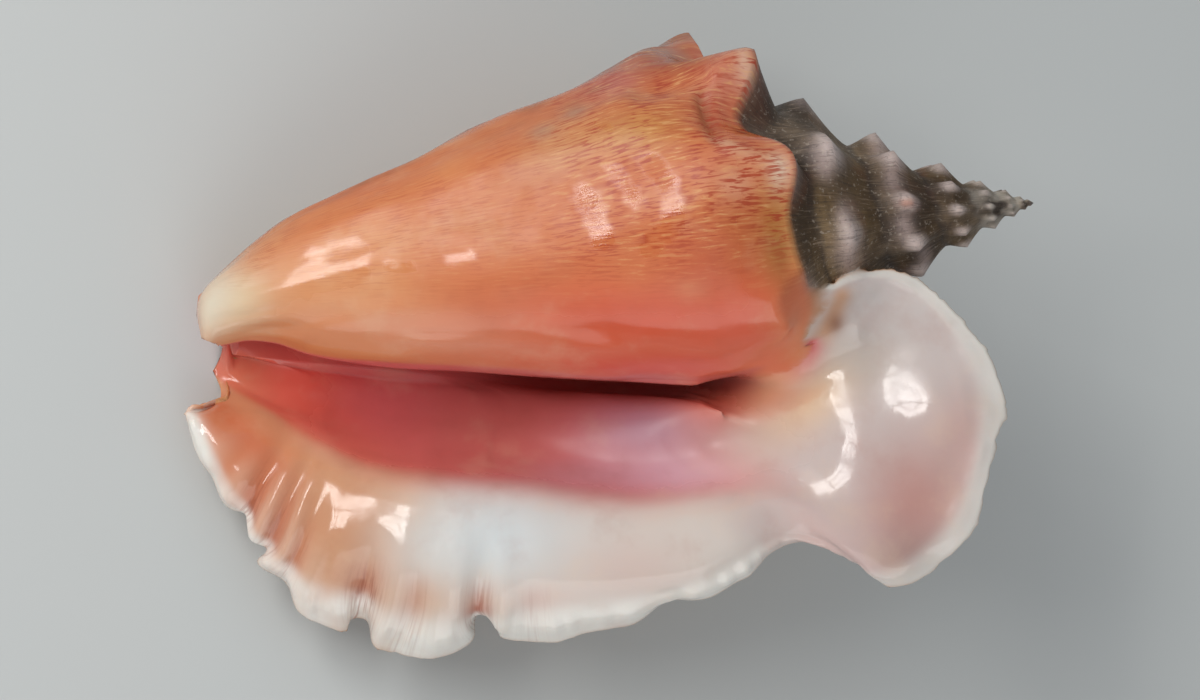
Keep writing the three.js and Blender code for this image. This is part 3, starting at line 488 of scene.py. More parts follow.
def lip_relief(E, T, S):
    x, y = seen(S)
    inner = ease(-T, -10, -9.2)
    g = noise2(E * 0.7, T * 0.6, 21.0) * 0.22 * ease(T, 6, 8)
    # the wall of the turn before shows as a low swelling at the back of the mouth, with a soft step under it
    swell = np.hypot((x - 630) / 84, (y - 415) / 44)
    g = g + 1.0 * ease(-swell, -1.25, -0.4) * inner
    g = g - 0.35 * np.exp(-(((swell - 1.2) / 0.2) ** 2)) * ease(y, 425, 450) * inner
    # a soft step where the canal starts
    step = x - (326 + (y - 370) * 0.12)
    g = g - 0.4 * ease(step, -12, 12) * ease(-step, -120, -20) * ease(-T, -10.2, -9.4)
    # the broad swellings of the wing
    wing = ease(-E, -24, -19) * ease(T, 8.2, 9.4)
    g = g + (2.0 * spot(x, y, (968, 398), (42, 44)) + 1.7 * spot(x, y, (850, 447), (52, 36))) * wing * ease(-T, -13.4, -12.6)
    # thick rolled rim with uneven beads, a shallow channel behind it on the wing
    bead = 0.55 + 0.45 * noise2(E * 1.55, 0.0, 41.0) + 0.35 * noise2(E * 3.4, 0.0, 43.0)
    side = ease(E, 17, 20)
    rim = 0.95 * side * (0.4 + bead) + 0.6 * (1 - side) * (0.5 + bead)
    g = g + rim * np.exp(-(((T - 13.24) / 0.26) ** 2)) * ease(E, 1.5, 4) * ease(-E, -55, -53)
    g = g - 0.7 * np.exp(-(((T - 12.6) / 0.5) ** 2)) * ease(E, 6.5, 9.5) * ease(-E, -18, -15)
    g = g + 0.7 * noise2(E * 0.62, T * 0.35, 47.0) * ease(T, 10.5, 12.5) * ease(-E, -18, -15)
    return g


def edge_beads(es):
    return 0.42 * noise2(es * 1.55, 0.0, 41.0) + 0.36 * noise2(es * 3.4, 0.0, 43.0) + 0.22 * noise2(es * 7.5, 0.0, 37.0)


# ---- build the mesh -----------------------------------------------------------------------------
def make_object(name, V, F):
    mesh = bpy.data.meshes.new(name)
    mesh.from_pydata((np.asarray(V) * 0.001).tolist(), [], [tuple(int(i) for i in f) for f in F])
    mesh.update()
    obj = bpy.data.objects.new(name, mesh)
    bpy.context.scene.collection.objects.link(obj)
    return obj


shares = np.concatenate([np.linspace(0, 0.16, 22)[:-1], np.linspace(0.16, 0.86, 56)[:-1], np.linspace(0.86, 1.0, 24)])
V1, F1, P1 = coil_mesh(160, 7, 12, shares)
stations = np.concatenate([np.arange(0, 18, 0.14), np.arange(18, 40, 0.17), np.linspace(40, 56, 116)])
t_in = np.concatenate([np.linspace(0, 6.7, 14)[:-1], np.linspace(6.7, 9.2, 22)[:-1], np.linspace(9.2, 13.6, 52)])
t_out = np.concatenate([np.linspace(0, 6.7, 26)[:-1], np.linspace(6.7, 13.6, 30)])
V2, F2, P2 = lip_mesh(stations, t_in, t_out, 7)
# the glaze of the lip rises to the whorl where the mouth closes
lx, ly = seen(V2)
rise = np.exp(-(((lx - 742) / 46) ** 2) - ((ly - 398) / 20) ** 2) * np.where(P2[:, 0] == 2, 1.0, 0.0)
V2 = V2 + VIEW_BACK * (10.0 * rise)[:, None]
# the floor of the hollow keeps the wall's thickness over the worn flats
V2[:, 2] += np.where((P2[:, 0] == 2) & (P2[:, 2] < 6.9), 5.0 * ease(-V2[:, 2], -12, -3), 0.0)
coil = make_object("coil", V1, F1)
lip = make_object("lip", V2, F2)
join = coil.modifiers.new("join", "BOOLEAN")
join.operation = "UNION"
join.solver = "MANIFOLD"
join.object = lip
graph = bpy.context.evaluated_depsgraph_get()
mesh = bpy.data.meshes.new_from_object(coil.evaluated_get(graph))
mesh.name = "shell_body"
for o in (coil, lip):
    old = o.data
    bpy.data.objects.remove(o)
    bpy.data.meshes.remove(old)
mesh.materials.clear()
shell = bpy.data.objects.new("conch_shell", mesh)
bpy.context.scene.collection.objects.link(shell)

count = len(mesh.vertices)
co = np.zeros(count * 3)
mesh.vertices.foreach_get("co", co)
co = co.reshape(-1, 3) * 1000
tree = KDTree(len(V1) + len(V2))
allP = np.concatenate([P1, P2])
for i, p in enumerate(np.concatenate([V1, V2])):
    tree.insert(p, i)
tree.balance()
near = np.array([tree.find(p)[1] for p in co])
par = allP[near]
# the glaze runs smoothly from the whorl into the wing and into the canal: relax the mesh round those corners
edges = np.zeros(len(mesh.edges) * 2, np.int64)
mesh.edges.foreach_get("vertices", edges)
edges = edges.reshape(-1, 2)
degree = np.zeros(count)
np.add.at(degree, edges[:, 0], 1)
np.add.at(degree, edges[:, 1], 1)


def relax(weight, rounds):
    use = (weight[edges] > 1e-4).any(1)
    a, b = edges[use].T
    idx = np.unique(np.concatenate([a, b]))
    slot = np.full(count, -1)
    slot[idx] = np.arange(len(idx))
    a, b = slot[a], slot[b]
    p = co[idx]
    w = (weight[idx] * (np.bincount(a, minlength=len(idx)) + np.bincount(b, minlength=len(idx)) == degree[idx]))[:, None]
    for _ in range(rounds):
        total = np.stack([np.bincount(a, p[b, c], len(idx)) + np.bincount(b, p[a, c], len(idx)) for c in range(3)], -1)
        p = p + (total / degree[idx, None] - p) * w
    co[idx] = p


sx, sy = seen(co)
height = (co - (VIEW_FROM - VIEW_BACK * VIEW_DISTANCE)) @ VIEW_BACK
facing = ease(height, -22, -12)


def segment(points, reach):
    best = np.full(count, 1e9)
    for (ax, ay), (bx, by) in zip(points[:-1], points[1:]):
        t = clamp(((sx - ax) * (bx - ax) + (sy - ay) * (by - ay)) / ((bx - ax) ** 2 + (by - ay) ** 2), 0, 1)
        best = np.minimum(best, np.hypot(sx - ax - t * (bx - ax), sy - ay - t * (by - ay)))
    return ease(-best, -reach, -reach * 0.35)


relax(segment(CREASE, 34) * facing, 240)
relax(segment([(716, 390), (732, 392), (752, 386)], 20) * ease(height, -40, -24), 70)
relax(segment([(200, 352), (220, 361)], 13), 90)


def stroke(points, width):
    best = np.full(count, 1e9)
    for (ax, ay), (bx, by) in zip(points[:-1], points[1:]):
        t = clamp(((sx - ax) * (bx - ax) + (sy - ay) * (by - ay)) / ((bx - ax) ** 2 + (by - ay) ** 2), 0, 1)
        best = np.minimum(best, np.hypot(sx - ax - t * (bx - ax), sy - ay - t * (by - ay)))
    return np.exp(-((best / width) ** 2))


mesh.vertices.foreach_set("co", (co * 0.001).ravel())
mesh.update()
normal = np.zeros(count * 3)
mesh.vertices.foreach_get("normal", normal)
normal = normal.reshape(-1, 3)
towards = normal @ VIEW_BACK
front = ease(towards, -0.1, 0.25) * ease(height, -20, -5) * np.where(par[:, 0] < 2, 1.0, 0.0)
pressed = 0.0
for points, width, depth in SHOULDER_MARKS:
    pressed = pressed + depth * stroke(points, width)
co = co + normal * (pressed * front)[:, None]
sx, sy = seen(co)
co[:, 2] = np.maximum(co[:, 2], 0)
mesh.vertices.foreach_set("co", (co * 0.001).ravel())
mesh.update()
print("SHELL", count, "vertices", sum(len(p.vertices) - 2 for p in mesh.polygons), "triangles", co.min(0), co.max(0))

# ---- colour zones ---------------------------------------------------------------------------------
def rgb(r, g, b):
    c = np.array([r, g, b]) / 255.0
    return np.where(c <= 0.04045, c / 12.92, ((c + 0.055) / 1.055) ** 2.4)


def patch(x, y, rx, ry, turn=0.0):
    """A soft oval on the mouth side, in the plane across the view."""
    c, s = math.cos(math.radians(turn)), math.sin(math.radians(turn))
    a, b = (px - x) * c + (py - y) * s, -(px - x) * s + (py - y) * c
    return np.exp(-((a / rx) ** 2) - (b / ry) ** 2)


d = co - VIEW_FROM
depth = -(d @ VIEW_BACK)
px = 600 + (d @ VIEW_RIGHT) / depth * VIEW_DISTANCE / VIEW_SCALE
py = 350 - (d @ VIEW_UP) / depth * VIEW_DISTANCE / VIEW_SCALE
kind, first, second, angle = par.T
is_spire, is_body, is_in, is_edge, is_out = (kind == k for k in range(5))
axis_u = (co - AXIS_APEX) @ AXIS_DIR
arm = co - AXIS_APEX - axis_u[:, None] * AXIS_DIR
arm_r = np.hypot(arm @ AXIS_LIP, arm @ AXIS_MOUTH)
arm_a = np.degrees(np.arctan2(arm @ AXIS_LIP, arm @ AXIS_MOUTH)) % 360
soft = noise(co * 0.045) * 0.6 + noise(co * 0.11 + 7) * 0.4
fine = noise(co * 0.27 + 3) * 0.6 + noise(co * 0.6 + 9) * 0.4
tint = np.zeros((count, 3))


def lay(where, mask, colour):
    m = (clamp(mask, 0, 1) * np.where(where, 1.0, 0.0))[:, None]
    tint[:] = tint * (1 - m) + colour * m


everything = np.ones(count, bool)
skin = is_body | is_out | is_edge
tube = is_out & (second < 7.5)
whorl = is_body | tube
round_a = np.where(arm_a < 140, arm_a + 360, arm_a)
lay(everything, 1.0, rgb(212, 122, 72))

# body whorl: warm tan, paler towards the canal, coral along the inner edge of the mouth
lay(whorl, ease(soft, -0.1, 0.5) * 0.6, rgb(222, 146, 88))
lay(whorl, ease(-soft, 0.05, 0.5) * 0.5, rgb(204, 100, 52))
lay(whorl, patch(470, 240, 150, 60, -12) * 0.5, rgb(216, 140, 90))
lay(whorl, patch(330, 300, 130, 42, 14) * 0.8, rgb(224, 156, 108))
lay(is_body, patch(470, 345, 130, 26, 8) * 0.85, rgb(228, 150, 116))
lay(is_body, patch(236, 296, 36, 40) * 0.95, rgb(226, 200, 164))
lay(is_body, patch(212, 304, 20, 46, 20) * 0.95, rgb(224, 212, 190))
lay(is_body, patch(640, 322, 150, 46, 3) * 0.95, rgb(220, 86, 54))
lay(is_body, patch(655, 372, 130, 20, 2) * 0.9, rgb(226, 92, 80))
lay(is_body, patch(740, 330, 70, 60, -30) * 0.8, rgb(222, 96, 70))
lay(is_body, patch(765, 376, 46, 24, -32) * 0.85, rgb(236, 124, 96))
lay(is_body, patch(800, 335, 24, 40, -20) * 0.6, rgb(226, 140, 92))

# upper left edge: brick red clouds, a pale streaked band near the canal
lay(whorl, patch(300, 232, 60, 16, -28) * 0.6, rgb(206, 108, 58))
fasciole = patch(268, 236, 44, 22, -42)
lay(whorl, fasciole * 0.6, rgb(214, 150, 104))

# shoulder and knobs
shoulder_zone = ease(axis_u, 60, 72) * ease(-axis_u, -150, -110) * ease(round_a, 200, 285) * ease(-round_a, -392, -352) * ease(-py, -318, -262)
streak = np.where(whorl, shoulder_zone, 0.0)
lay(whorl, shoulder_zone * (0.55 + 0.3 * soft), rgb(198, 96, 50))
lay(whorl, shoulder_zone * ease(fine, 0.1, 0.5) * 0.5, rgb(214, 132, 72))
lay(whorl, patch(635, 132, 46, 20, -8) * 0.75, rgb(204, 150, 76))
lay(whorl, patch(560, 150, 60, 26, -24) * 0.5, rgb(204, 156, 106))
lay(whorl, patch(735, 182, 24, 16) * 0.75, rgb(226, 168, 136))
lay(whorl, patch(690, 290, 14, 7) * 0.6, rgb(226, 160, 112))
lay(whorl, patch(722, 262, 50, 34) * 0.5, rgb(190, 86, 50))
lay(whorl, patch(781, 250, 12, 34) * 0.7, rgb(132, 82, 44))
lay(whorl, patch(775, 228, 14, 46, -4) * 0.8, rgb(188, 122, 54))
lay(whorl, patch(612, 82, 30, 11, -20) * 0.85, rgb(206, 132, 132))
lay(whorl, patch(575, 112, 9, 7) * 0.8, rgb(150, 136, 118))
lay(whorl, patch(543, 131, 11, 6) * 0.8, rgb(158, 146, 126))
lay(whorl, patch(718, 92, 24, 36, 8) * 0.8, rgb(206, 118, 92))
lay(whorl, patch(728, 74, 16, 16) * 0.7, rgb(220, 150, 126))
lay(whorl, patch(668, 56, 40, 18) * 0.9, rgb(150, 76, 40))
upper = ease(arm_a, 246, 258) * ease(-arm_a, -300, -276)
lay(whorl, upper * (0.45 + 0.55 * fine) * 0.7, rgb(182, 92, 48))
lay(whorl, upper * ease(fine, 0.35, 0.6) * 0.8, rgb(96, 52, 30))
pale_rim = np.where(whorl | is_spire, 1.0, 0.0)
lay(everything, stroke([(743, 54), (749, 80), (752, 112)], 6) * 0.85 * pale_rim, rgb(232, 208, 184))
lay(everything, stroke([(716, 141), (745, 152), (776, 164)], 4) * 0.75 * pale_rim, rgb(230, 198, 168))
lay(everything, patch(780, 170, 10, 18) * 0.9 * pale_rim, rgb(236, 222, 198))
lay(everything, stroke([(782, 190), (786, 225), (796, 270)], 4) * 0.6 * pale_rim, rgb(214, 160, 96))
# painted shade: a dark brown line along the crevice under the first knob of the shoulder
lay(everything, stroke([(702, 96), (709, 120), (716, 138)], 5) * 0.75 * np.where(whorl, 1, 0), rgb(118, 64, 40))
back = ease(arm_a, 60, 110) * ease(-arm_a, -250, -232)
lay(whorl | is_out, back * 0.85, rgb(206, 152, 104))
lay(whorl | is_out, back * ease(soft + 0.5 * fine, 0.05, 0.5) * 0.7, rgb(188, 108, 62))
lay(whorl | is_out, back * ease(-soft + 0.3 * fine, 0.1, 0.55) * 0.6, rgb(226, 196, 156))

# inside of the mouth
low = (co[:, 0] > -42) & (co[:, 2] < 12) & (normal[:, 2] < -0.35)
outside = (is_body & (first > 0.45) & ((axis_u < 78) | low)) | (is_in & low)
lay(is_in & low, 0.85, rgb(206, 152, 104))
mouth = (is_in | (is_body & (first > 0.45))) & ~outside
is_in = is_in & ~low
lay(mouth, 1.0, rgb(210, 112, 104))
lay(is_in, ease(-second, -9.0, -7.6) * 0.9, rgb(220, 104, 100))
lay(mouth, patch(390, 405, 90, 44, 10) * 0.9, rgb(226, 102, 106))
lay(mouth, patch(500, 436, 110, 36, 6) * 0.85, rgb(212, 112, 104))
lay(is_in, patch(300, 395, 52, 40, 20) * 0.95, rgb(240, 104, 86))
lay(is_in, patch(340, 448, 60, 24, 20) * 0.8, rgb(234, 122, 104))
lay(is_in, patch(240, 378, 34, 30, 30) * 0.9, rgb(240, 138, 106))
lay(is_in, patch(656, 428, 74, 34, -4) * 0.95, rgb(196, 148, 168))
lay(is_in, patch(610, 474, 90, 18, -3) * 0.8, rgb(208, 150, 160))
lay(is_in, patch(694, 472, 64, 22, -3) * 0.85, rgb(222, 186, 204))
lay(is_in, patch(770, 440, 76, 60, -20) * 0.9, rgb(232, 196, 188))
lay(is_in, patch(712, 418, 36, 26, 0) * 0.6, rgb(230, 162, 152))

# lip band
band = ease(second, 9.35, 10.3) * ease(first, 14, 24)
lay(is_in, band, rgb(220, 210, 200))
lay(is_in, band * patch(500, 535, 80, 50) * 0.95, rgb(216, 220, 220))
lay(is_in, band * patch(630, 570, 70, 36) * 0.7, rgb(216, 188, 178))
lay(is_in, band * patch(765, 515, 50, 40) * 0.7, rgb(200, 184, 180))
lay(is_in, band * ease(-px, -440, -330) * 0.95, rgb(206, 146, 108))
lay(is_in, ease(second, 9.0, 9.9) * ease(-px, -330, -250) * 0.9, rgb(206, 120, 80))
lay(is_in, patch(255, 432, 46, 26, 20) * 0.85, rgb(220, 124, 86))
lay(is_in, ease(second, 9.2, 9.8) * ease(-second, -11.2, -10.0) * ease(first, 24, 30) * ease(-px, -470, -380) * 0.5, rgb(226, 170, 128))
lay(is_in, patch(420, 600, 40, 24) * 0.6, rgb(208, 156, 124))
lay(is_in, patch(540, 600, 40, 20) * 0.5, rgb(226, 190, 176))
hollow = np.zeros(count)
crest = np.zeros(count)
for at, width, height_of, start in FOLDS:
    if at < 30:
        continue
    g = np.exp(-(((first - at) / (width * 0.9)) ** 2)) * ease(second, start - 0.2, 12.7)
    if height_of < 0:
        hollow = np.maximum(hollow, g * min(1.0, -height_of / 2.2))
    else:
        crest = np.maximum(crest, g * min(1.0, height_of / 1.5))
# fold valleys near the edge get a darker reddish brown, partly the folds' own colour and partly painted shade in the
# valleys; the fold ridges get a paler cream, partly their own colour and partly painted light
lay(is_in, hollow * ease(first, 30, 32) * ease(-second, -13.5, -12.9) * 0.9, rgb(184, 100, 72))
lay(is_in, crest * ease(first, 30, 32) * 0.5, rgb(232, 208, 186))

# wing
wing_mask = ease(second, 7.6, 9.0) * ease(-first, -22, -16)
lay(is_in, wing_mask, rgb(206, 193, 188))
lay(is_in, wing_mask * patch(800, 400, 60, 30, -34) * 0.9, rgb(242, 206, 164))
# the wing's pink lower side, the pink channel inside its rim and the darker grey-pink lower corner: partly the wing's
# own pink, partly painted shade where the wing turns down and away from the light
lay(is_in, wing_mask * patch(915, 505, 62, 74, 25) * 0.85, rgb(192, 136, 126))
lay(is_in, wing_mask * patch(962, 430, 26, 44) * 0.5, rgb(204, 156, 146))
lay(is_in, wing_mask * patch(918, 562, 46, 28, -30) * 0.9, rgb(158, 124, 118))
lay(is_in, wing_mask * patch(858, 352, 40, 36) * 0.6, rgb(182, 170, 160))
lay(is_in, wing_mask * patch(880, 318, 44, 26, 10) * 0.6, rgb(202, 196, 192))
lay(is_in, wing_mask * stroke([(822, 338), (832, 318), (842, 296)], 10) * 0.75, rgb(206, 148, 104))
# painted shade: a dark brown dot in the dent where the wing meets the whorl
lay(is_in, wing_mask * patch(836, 324, 8, 10) * 0.7, rgb(138, 84, 52))
lay(is_in, ease(second, 12.95, 13.4) * ease(-first, -20, -17) * 0.85, rgb(228, 222, 214))

# enamel edge and the thin brown skin behind it
lay(is_in, ease(second, 12.6, 13.1) * ease(first, 20, 23) * (0.8 + 0.4 * fine), rgb(238, 234, 226))
lay(is_edge, 1.0, rgb(236, 231, 222))
under = is_out & (second > 6.5)
lay(under, ease(second, 6.5, 8.0), rgb(204, 162, 116))
lay(under, ease(second, 6.5, 8.0) * ease(soft + 0.4 * fine, 0.0, 0.5) * 0.7, rgb(178, 108, 58))
lay(under, ease(second, 11.8, 13.3) * 0.85, rgb(180, 118, 42))
lip_side = np.where(is_edge | (is_out & (second > 12.8)), 1.0, 0.0)
turned = ease(-towards, -0.42, -0.1) * ease(-first, -51, -49)
lay(everything, lip_side * turned * 0.95, rgb(176, 112, 38))
notch = np.maximum.reduce([stroke([(345, 632), (385, 650)], 12), stroke([(484, 622), (498, 634)], 10), stroke([(765, 556), (800, 548), (850, 560), (892, 586)], 12), stroke([(838, 282), (866, 271), (900, 274)], 7)])
lay(everything, lip_side * notch * ease(-towards, -0.85, -0.35) * 0.95, rgb(178, 112, 36))
canal_skin = np.where((is_out | is_edge) & (first > 50.5), 1.0, 0.0) * np.where(is_edge, 1.0, ease(towards, -0.8, -0.35))
lay(everything, canal_skin, rgb(226, 150, 98))
lay(everything, np.where(is_edge | is_in, 1, 0) * patch(196, 440, 12, 40, -16) * 0.9, rgb(238, 234, 226))
lay(everything, patch(196, 348, 7, 7) * 0.9, rgb(222, 120, 44))

# painted light: where the mouth closes under the whorl, the shaded gap and the strip under the whorl's edge get a
# lighter red, and the corner by the wing a light peach, to lift the shade there; the red is partly the glaze's own
# colour
seen_side = ease(towards, -0.3, -0.1)
lay(is_body | is_in, patch(716, 398, 40, 15, 0) * seen_side * 0.95, rgb(255, 142, 116))
lay(is_body | is_in, stroke([(470, 388), (560, 394), (660, 396)], 8) * ease(-towards, -0.75, -0.35) * seen_side * 0.6, rgb(236, 116, 106))
lay(is_in, patch(766, 392, 36, 20, -34) * 0.9, rgb(252, 200, 158))

# where the spire's last turn runs in under the wing it is glazed like the wing
glazed_over = is_spire & (py > 288) & (px < 852) & (towards > 0)
is_spire = is_spire & ~glazed_over
lay(glazed_over, 1.0, rgb(190, 142, 108))

# spire: worn grey-brown turns, pale knob tops, dark seams
spire = is_spire
tops = knob(np.where(is_spire, first, 0.0)) * np.exp(-((second / 0.2) ** 2)) + knob(np.where(is_spire, first - 1, 0.0)) * np.exp(-(((1 - second) / 0.2) ** 2))
lay(spire, 1.0, rgb(90, 68, 38))
lay(spire, ease(soft + 0.6 * fine, -0.05, 0.5) * 0.7, rgb(130, 103, 64))
lay(spire, ease(-soft + 0.5 * fine, 0.0, 0.5) * 0.75, rgb(56, 36, 15))
girdle = np.sin(second * 26 + 3 * soft) * 0.5 + 0.5
lay(spire, ease(girdle, 0.55, 0.95) * 0.4 * ease(axis_u, 10, 30), rgb(58, 40, 20))
lay(spire, ease(tops, 0.15, 0.8) * (0.9 + 0.3 * fine), rgb(206, 188, 182))
lay(spire, patch(757, 100, 12, 44, -6) * 0.85, rgb(158, 84, 52))
for x, y, rx, ry in ((823, 166, 10, 14), (848, 255, 12, 18), (812, 150, 8, 14), (893, 178, 9, 18), (880, 150, 10, 9), (905, 225, 9, 16), (925, 255, 7, 10), (846, 215, 8, 14)):
    lay(spire, patch(x, y, rx, ry, -8) * 0.75, rgb(188, 166, 160))
seam = np.exp(-(((second - suture_place(np.where(is_spire, first, 1.0))) / 0.06) ** 2)) * np.where(is_spire, 1, 0)
lay(spire, seam * 0.9, rgb(42, 30, 22))
lay(spire, patch(908, 203, 6, 4) * 0.8, rgb(196, 106, 58))
# painted shade: the spire's turn just beside the whorl's shoulder is made dark brown, under the overhanging shoulder
lay(spire, ease(axis_u, 50, 58) * ease(-px, -822, -806) * 0.75, rgb(52, 36, 22))
lay(spire, ease(-axis_u, -22, -10) * (0.55 + 0.9 * fine), rgb(176, 168, 156))
lay(spire, ease(-axis_u, -22, -10) * ease(-fine, 0.05, 0.35) * 0.8, rgb(40, 32, 26))

for _ in range(3):
    total = np.stack([np.bincount(edges[:, 0], tint[edges[:, 1], c], count) + np.bincount(edges[:, 1], tint[edges[:, 0], c], count) for c in range(3)], -1)
    even = np.where(is_spire, 0.15, 0.6)[:, None]
    tint[:] = (1 - even) * tint + even * total / degree[:, None]
streak = np.where(is_spire, 0, streak)
streak = np.maximum(streak, np.where(whorl, fasciole * 0.7, 0.0))
streak = np.maximum(streak, np.where(whorl & ~is_spire, 0.34 * ease(-py, -330, -240) * ease(px, 250, 330) * ease(round_a, 200, 270), 0.0))
grow = np.where(is_spire, 1.0, np.where(is_out, ease(second, 4, 8) * 0.8 * (1 - canal_skin), 0.0))
enamel = np.where(is_spire, 0.2, np.where(under, 0.4 + 0.5 * canal_skin, 1.0))
enamel = np.where(is_in, 1 - 0.55 * ease(-second, -9.9, -9.0) * ease(first, 10, 18) * ease(-first, -51, -47), enamel)
glossy = np.maximum.reduce([
    stroke([(262, 288), (300, 276), (350, 262)], 26), stroke([(388, 266), (412, 266)], 7), stroke([(446, 262), (472, 255)], 5),
    stroke([(584, 196), (594, 214), (604, 240)], 13), stroke([(612, 172), (624, 182), (634, 200)], 8),
    stroke([(648, 160), (668, 186), (672, 222), (650, 250)], 12), stroke([(600, 122), (606, 126)], 6), stroke([(776, 304), (806, 316)], 8)])
satin = np.where(whorl, ease(px, 235, 260) * ease(-py, -330, -300) * ease(round_a, 262, 285) * ease(axis_u, 76, 90), 0.0)
enamel = enamel - 0.62 * satin * (1 - ease(glossy + 0.25 * fine, 0.25, 0.6))


def put(name, kind_of, values):
    a = mesh.attributes.new(name, kind_of, "POINT")
    values = np.asarray(values, np.float32)
    if kind_of == "FLOAT":
        a.data.foreach_set("value", values.ravel())
    elif kind_of == "FLOAT_VECTOR":
        a.data.foreach_set("vector", values.ravel())
    else:
        a.data.foreach_set("color", np.concatenate([values, np.ones((len(values), 1), np.float32)], 1).ravel())


put("tint", "FLOAT_COLOR", clamp(tint, 0, 1))
put("streak", "FLOAT", streak)
put("grow", "FLOAT", grow)
put("enamel", "FLOAT", enamel)
put("hollow", "FLOAT", np.where(is_in, hollow, 0))
# along the axis, round it, and outwards, in millimetres at a middle radius
put("flow", "FLOAT_VECTOR", np.stack([axis_u, np.radians(round_a) * 40, arm_r], -1))
put("rays", "FLOAT_VECTOR", np.stack([first * 4.0, second * 6.0, kind], -1))


# ---- finish ---------------------------------------------------------------------------------------
mat = bpy.data.materials.new("shell_finish")
mat.use_nodes = True
tree = mat.node_tree
nodes, links = tree.nodes, tree.links
bsdf = nodes["Principled BSDF"]


def attribute(name):
    n = nodes.new("ShaderNodeAttribute")
    n.attribute_name = name
    return n


def scaled(vector, scale):
    n = nodes.new("ShaderNodeVectorMath")
    n.operation = "MULTIPLY"
    links.new(vector, n.inputs[0])
    n.inputs[1].default_value = scale
    return n.outputs[0]


def noise_node(vector, scale, detail=3.0, rough=0.55, distortion=0.0):
    n = nodes.new("ShaderNodeTexNoise")
    links.new(vector, n.inputs["Vector"])
    n.inputs["Scale"].default_value = scale
    n.inputs["Detail"].default_value = detail
    n.inputs["Roughness"].default_value = rough
    n.inputs["Distortion"].default_value = distortion
    return n.outputs["Fac"]


def span(value, a, b, c=0.0, d=1.0):
    n = nodes.new("ShaderNodeMapRange")
    n.interpolation_type = "SMOOTHSTEP"
    links.new(value, n.inputs["Value"])
    for name, x in (("From Min", a), ("From Max", b), ("To Min", c), ("To Max", d)):
        n.inputs[name].default_value = x
    return n.outputs["Result"]


def math_node(op, a, b=None):
    n = nodes.new("ShaderNodeMath")
    n.operation = op
    for i, x in enumerate((a, b)):
        if x is None:
            continue
        if isinstance(x, (int, float)):
            n.inputs[i].default_value = x
        else:
            links.new(x, n.inputs[i])
    return n.outputs[0]


def blend(base, factor, colour, mode="MIX"):
    n = nodes.new("ShaderNodeMix")
    n.data_type = "RGBA"
    n.blend_type = mode
    links.new(factor, n.inputs["Factor"])
    links.new(base, n.inputs["A"])
    n.inputs["B"].default_value = (*colour, 1.0)
    return n.outputs["Result"]


coords = nodes.new("ShaderNodeTexCoord").outputs["Object"]
tint_out = attribute("tint").outputs["Color"]
streak_out = attribute("streak").outputs["Fac"]
grow_out = attribute("grow").outputs["Fac"]
enamel_out = attribute("enamel").outputs["Fac"]
hollow_out = attribute("hollow").outputs["Fac"]
flow = attribute("flow").outputs["Vector"]
rays = attribute("rays").outputs["Vector"]

# cloudy variation of the porcelain
cloud = noise_node(coords, 55.0, 4.0, 0.6)
colour = blend(tint_out, span(cloud, 0.5, 0.75, 0.0, 0.16), tuple(rgb(238, 206, 170)))
colour = blend(colour, span(cloud, 0.48, 0.25, 0.0, 0.16), tuple(rgb(168, 84, 56)))

# dashes along the axis, gathered in bands round the whorl
dash = noise_node(scaled(flow, (0.17, 1.25, 0.0)), 1.0, 3.0, 0.55, 0.5)
rows = noise_node(scaled(flow, (0.15, 0.045, 0.0)), 1.0, 2.0, 0.5, 0.5)
row_mask = span(rows, 0.36, 0.6, 0.25, 1.0)
dark = math_node("MULTIPLY", math_node("MULTIPLY", span(dash, 0.49, 0.60), row_mask), streak_out)
colour = blend(colour, math_node("MULTIPLY", dark, 0.85), tuple(rgb(172, 56, 26)))
pale = math_node("MULTIPLY", math_node("MULTIPLY", span(dash, 0.45, 0.34), span(rows, 0.66, 0.40, 0.2, 1.0)), streak_out)
colour = blend(colour, math_node("MULTIPLY", pale, 0.6), tuple(rgb(228, 172, 112)))

# growth lines on the spire and the outside
line = noise_node(scaled(flow, (0.16, 1.1, 0.0)), 1.0, 4.0, 0.65, 0.6)
colour = blend(colour, math_node("MULTIPLY", span(line, 0.50, 0.68), math_node("MULTIPLY", grow_out, 0.5)), tuple(rgb(46, 33, 24)))
colour = blend(colour, math_node("MULTIPLY", span(line, 0.46, 0.30), math_node("MULTIPLY", grow_out, 0.35)), tuple(rgb(182, 160, 138)))

speck = noise_node(coords, 900.0, 2.0, 0.6)
speck_fac = math_node("MULTIPLY", grow_out, 0.26)
colour = blend(colour, math_node("MULTIPLY", span(speck, 0.58, 0.68), speck_fac), tuple(rgb(34, 26, 20)))
colour = blend(colour, math_node("MULTIPLY", span(speck, 0.40, 0.31), speck_fac), tuple(rgb(206, 192, 176)))

# fine rays in the folds of the lip: dark streaks in the fold valleys, a pattern that also adds to the painted shade
# there
ray = noise_node(scaled(rays, (1.3, 0.10, 0.0)), 1.0, 3.0, 0.6)
colour = blend(colour, math_node("MULTIPLY", span(ray, 0.46, 0.64), math_node("MULTIPLY", hollow_out, 0.6)), tuple(rgb(150, 74, 48)))

links.new(colour, bsdf.inputs["Base Color"])

# gloss: worn and dull on the spire, glazed elsewhere
smear = noise_node(coords, 120.0, 3.0, 0.6)
dull = span(enamel_out, 1.0, 0.2, 0.13, 0.5)
links.new(math_node("ADD", dull, span(smear, 0.35, 0.75, -0.03, 0.09)), bsdf.inputs["Roughness"])

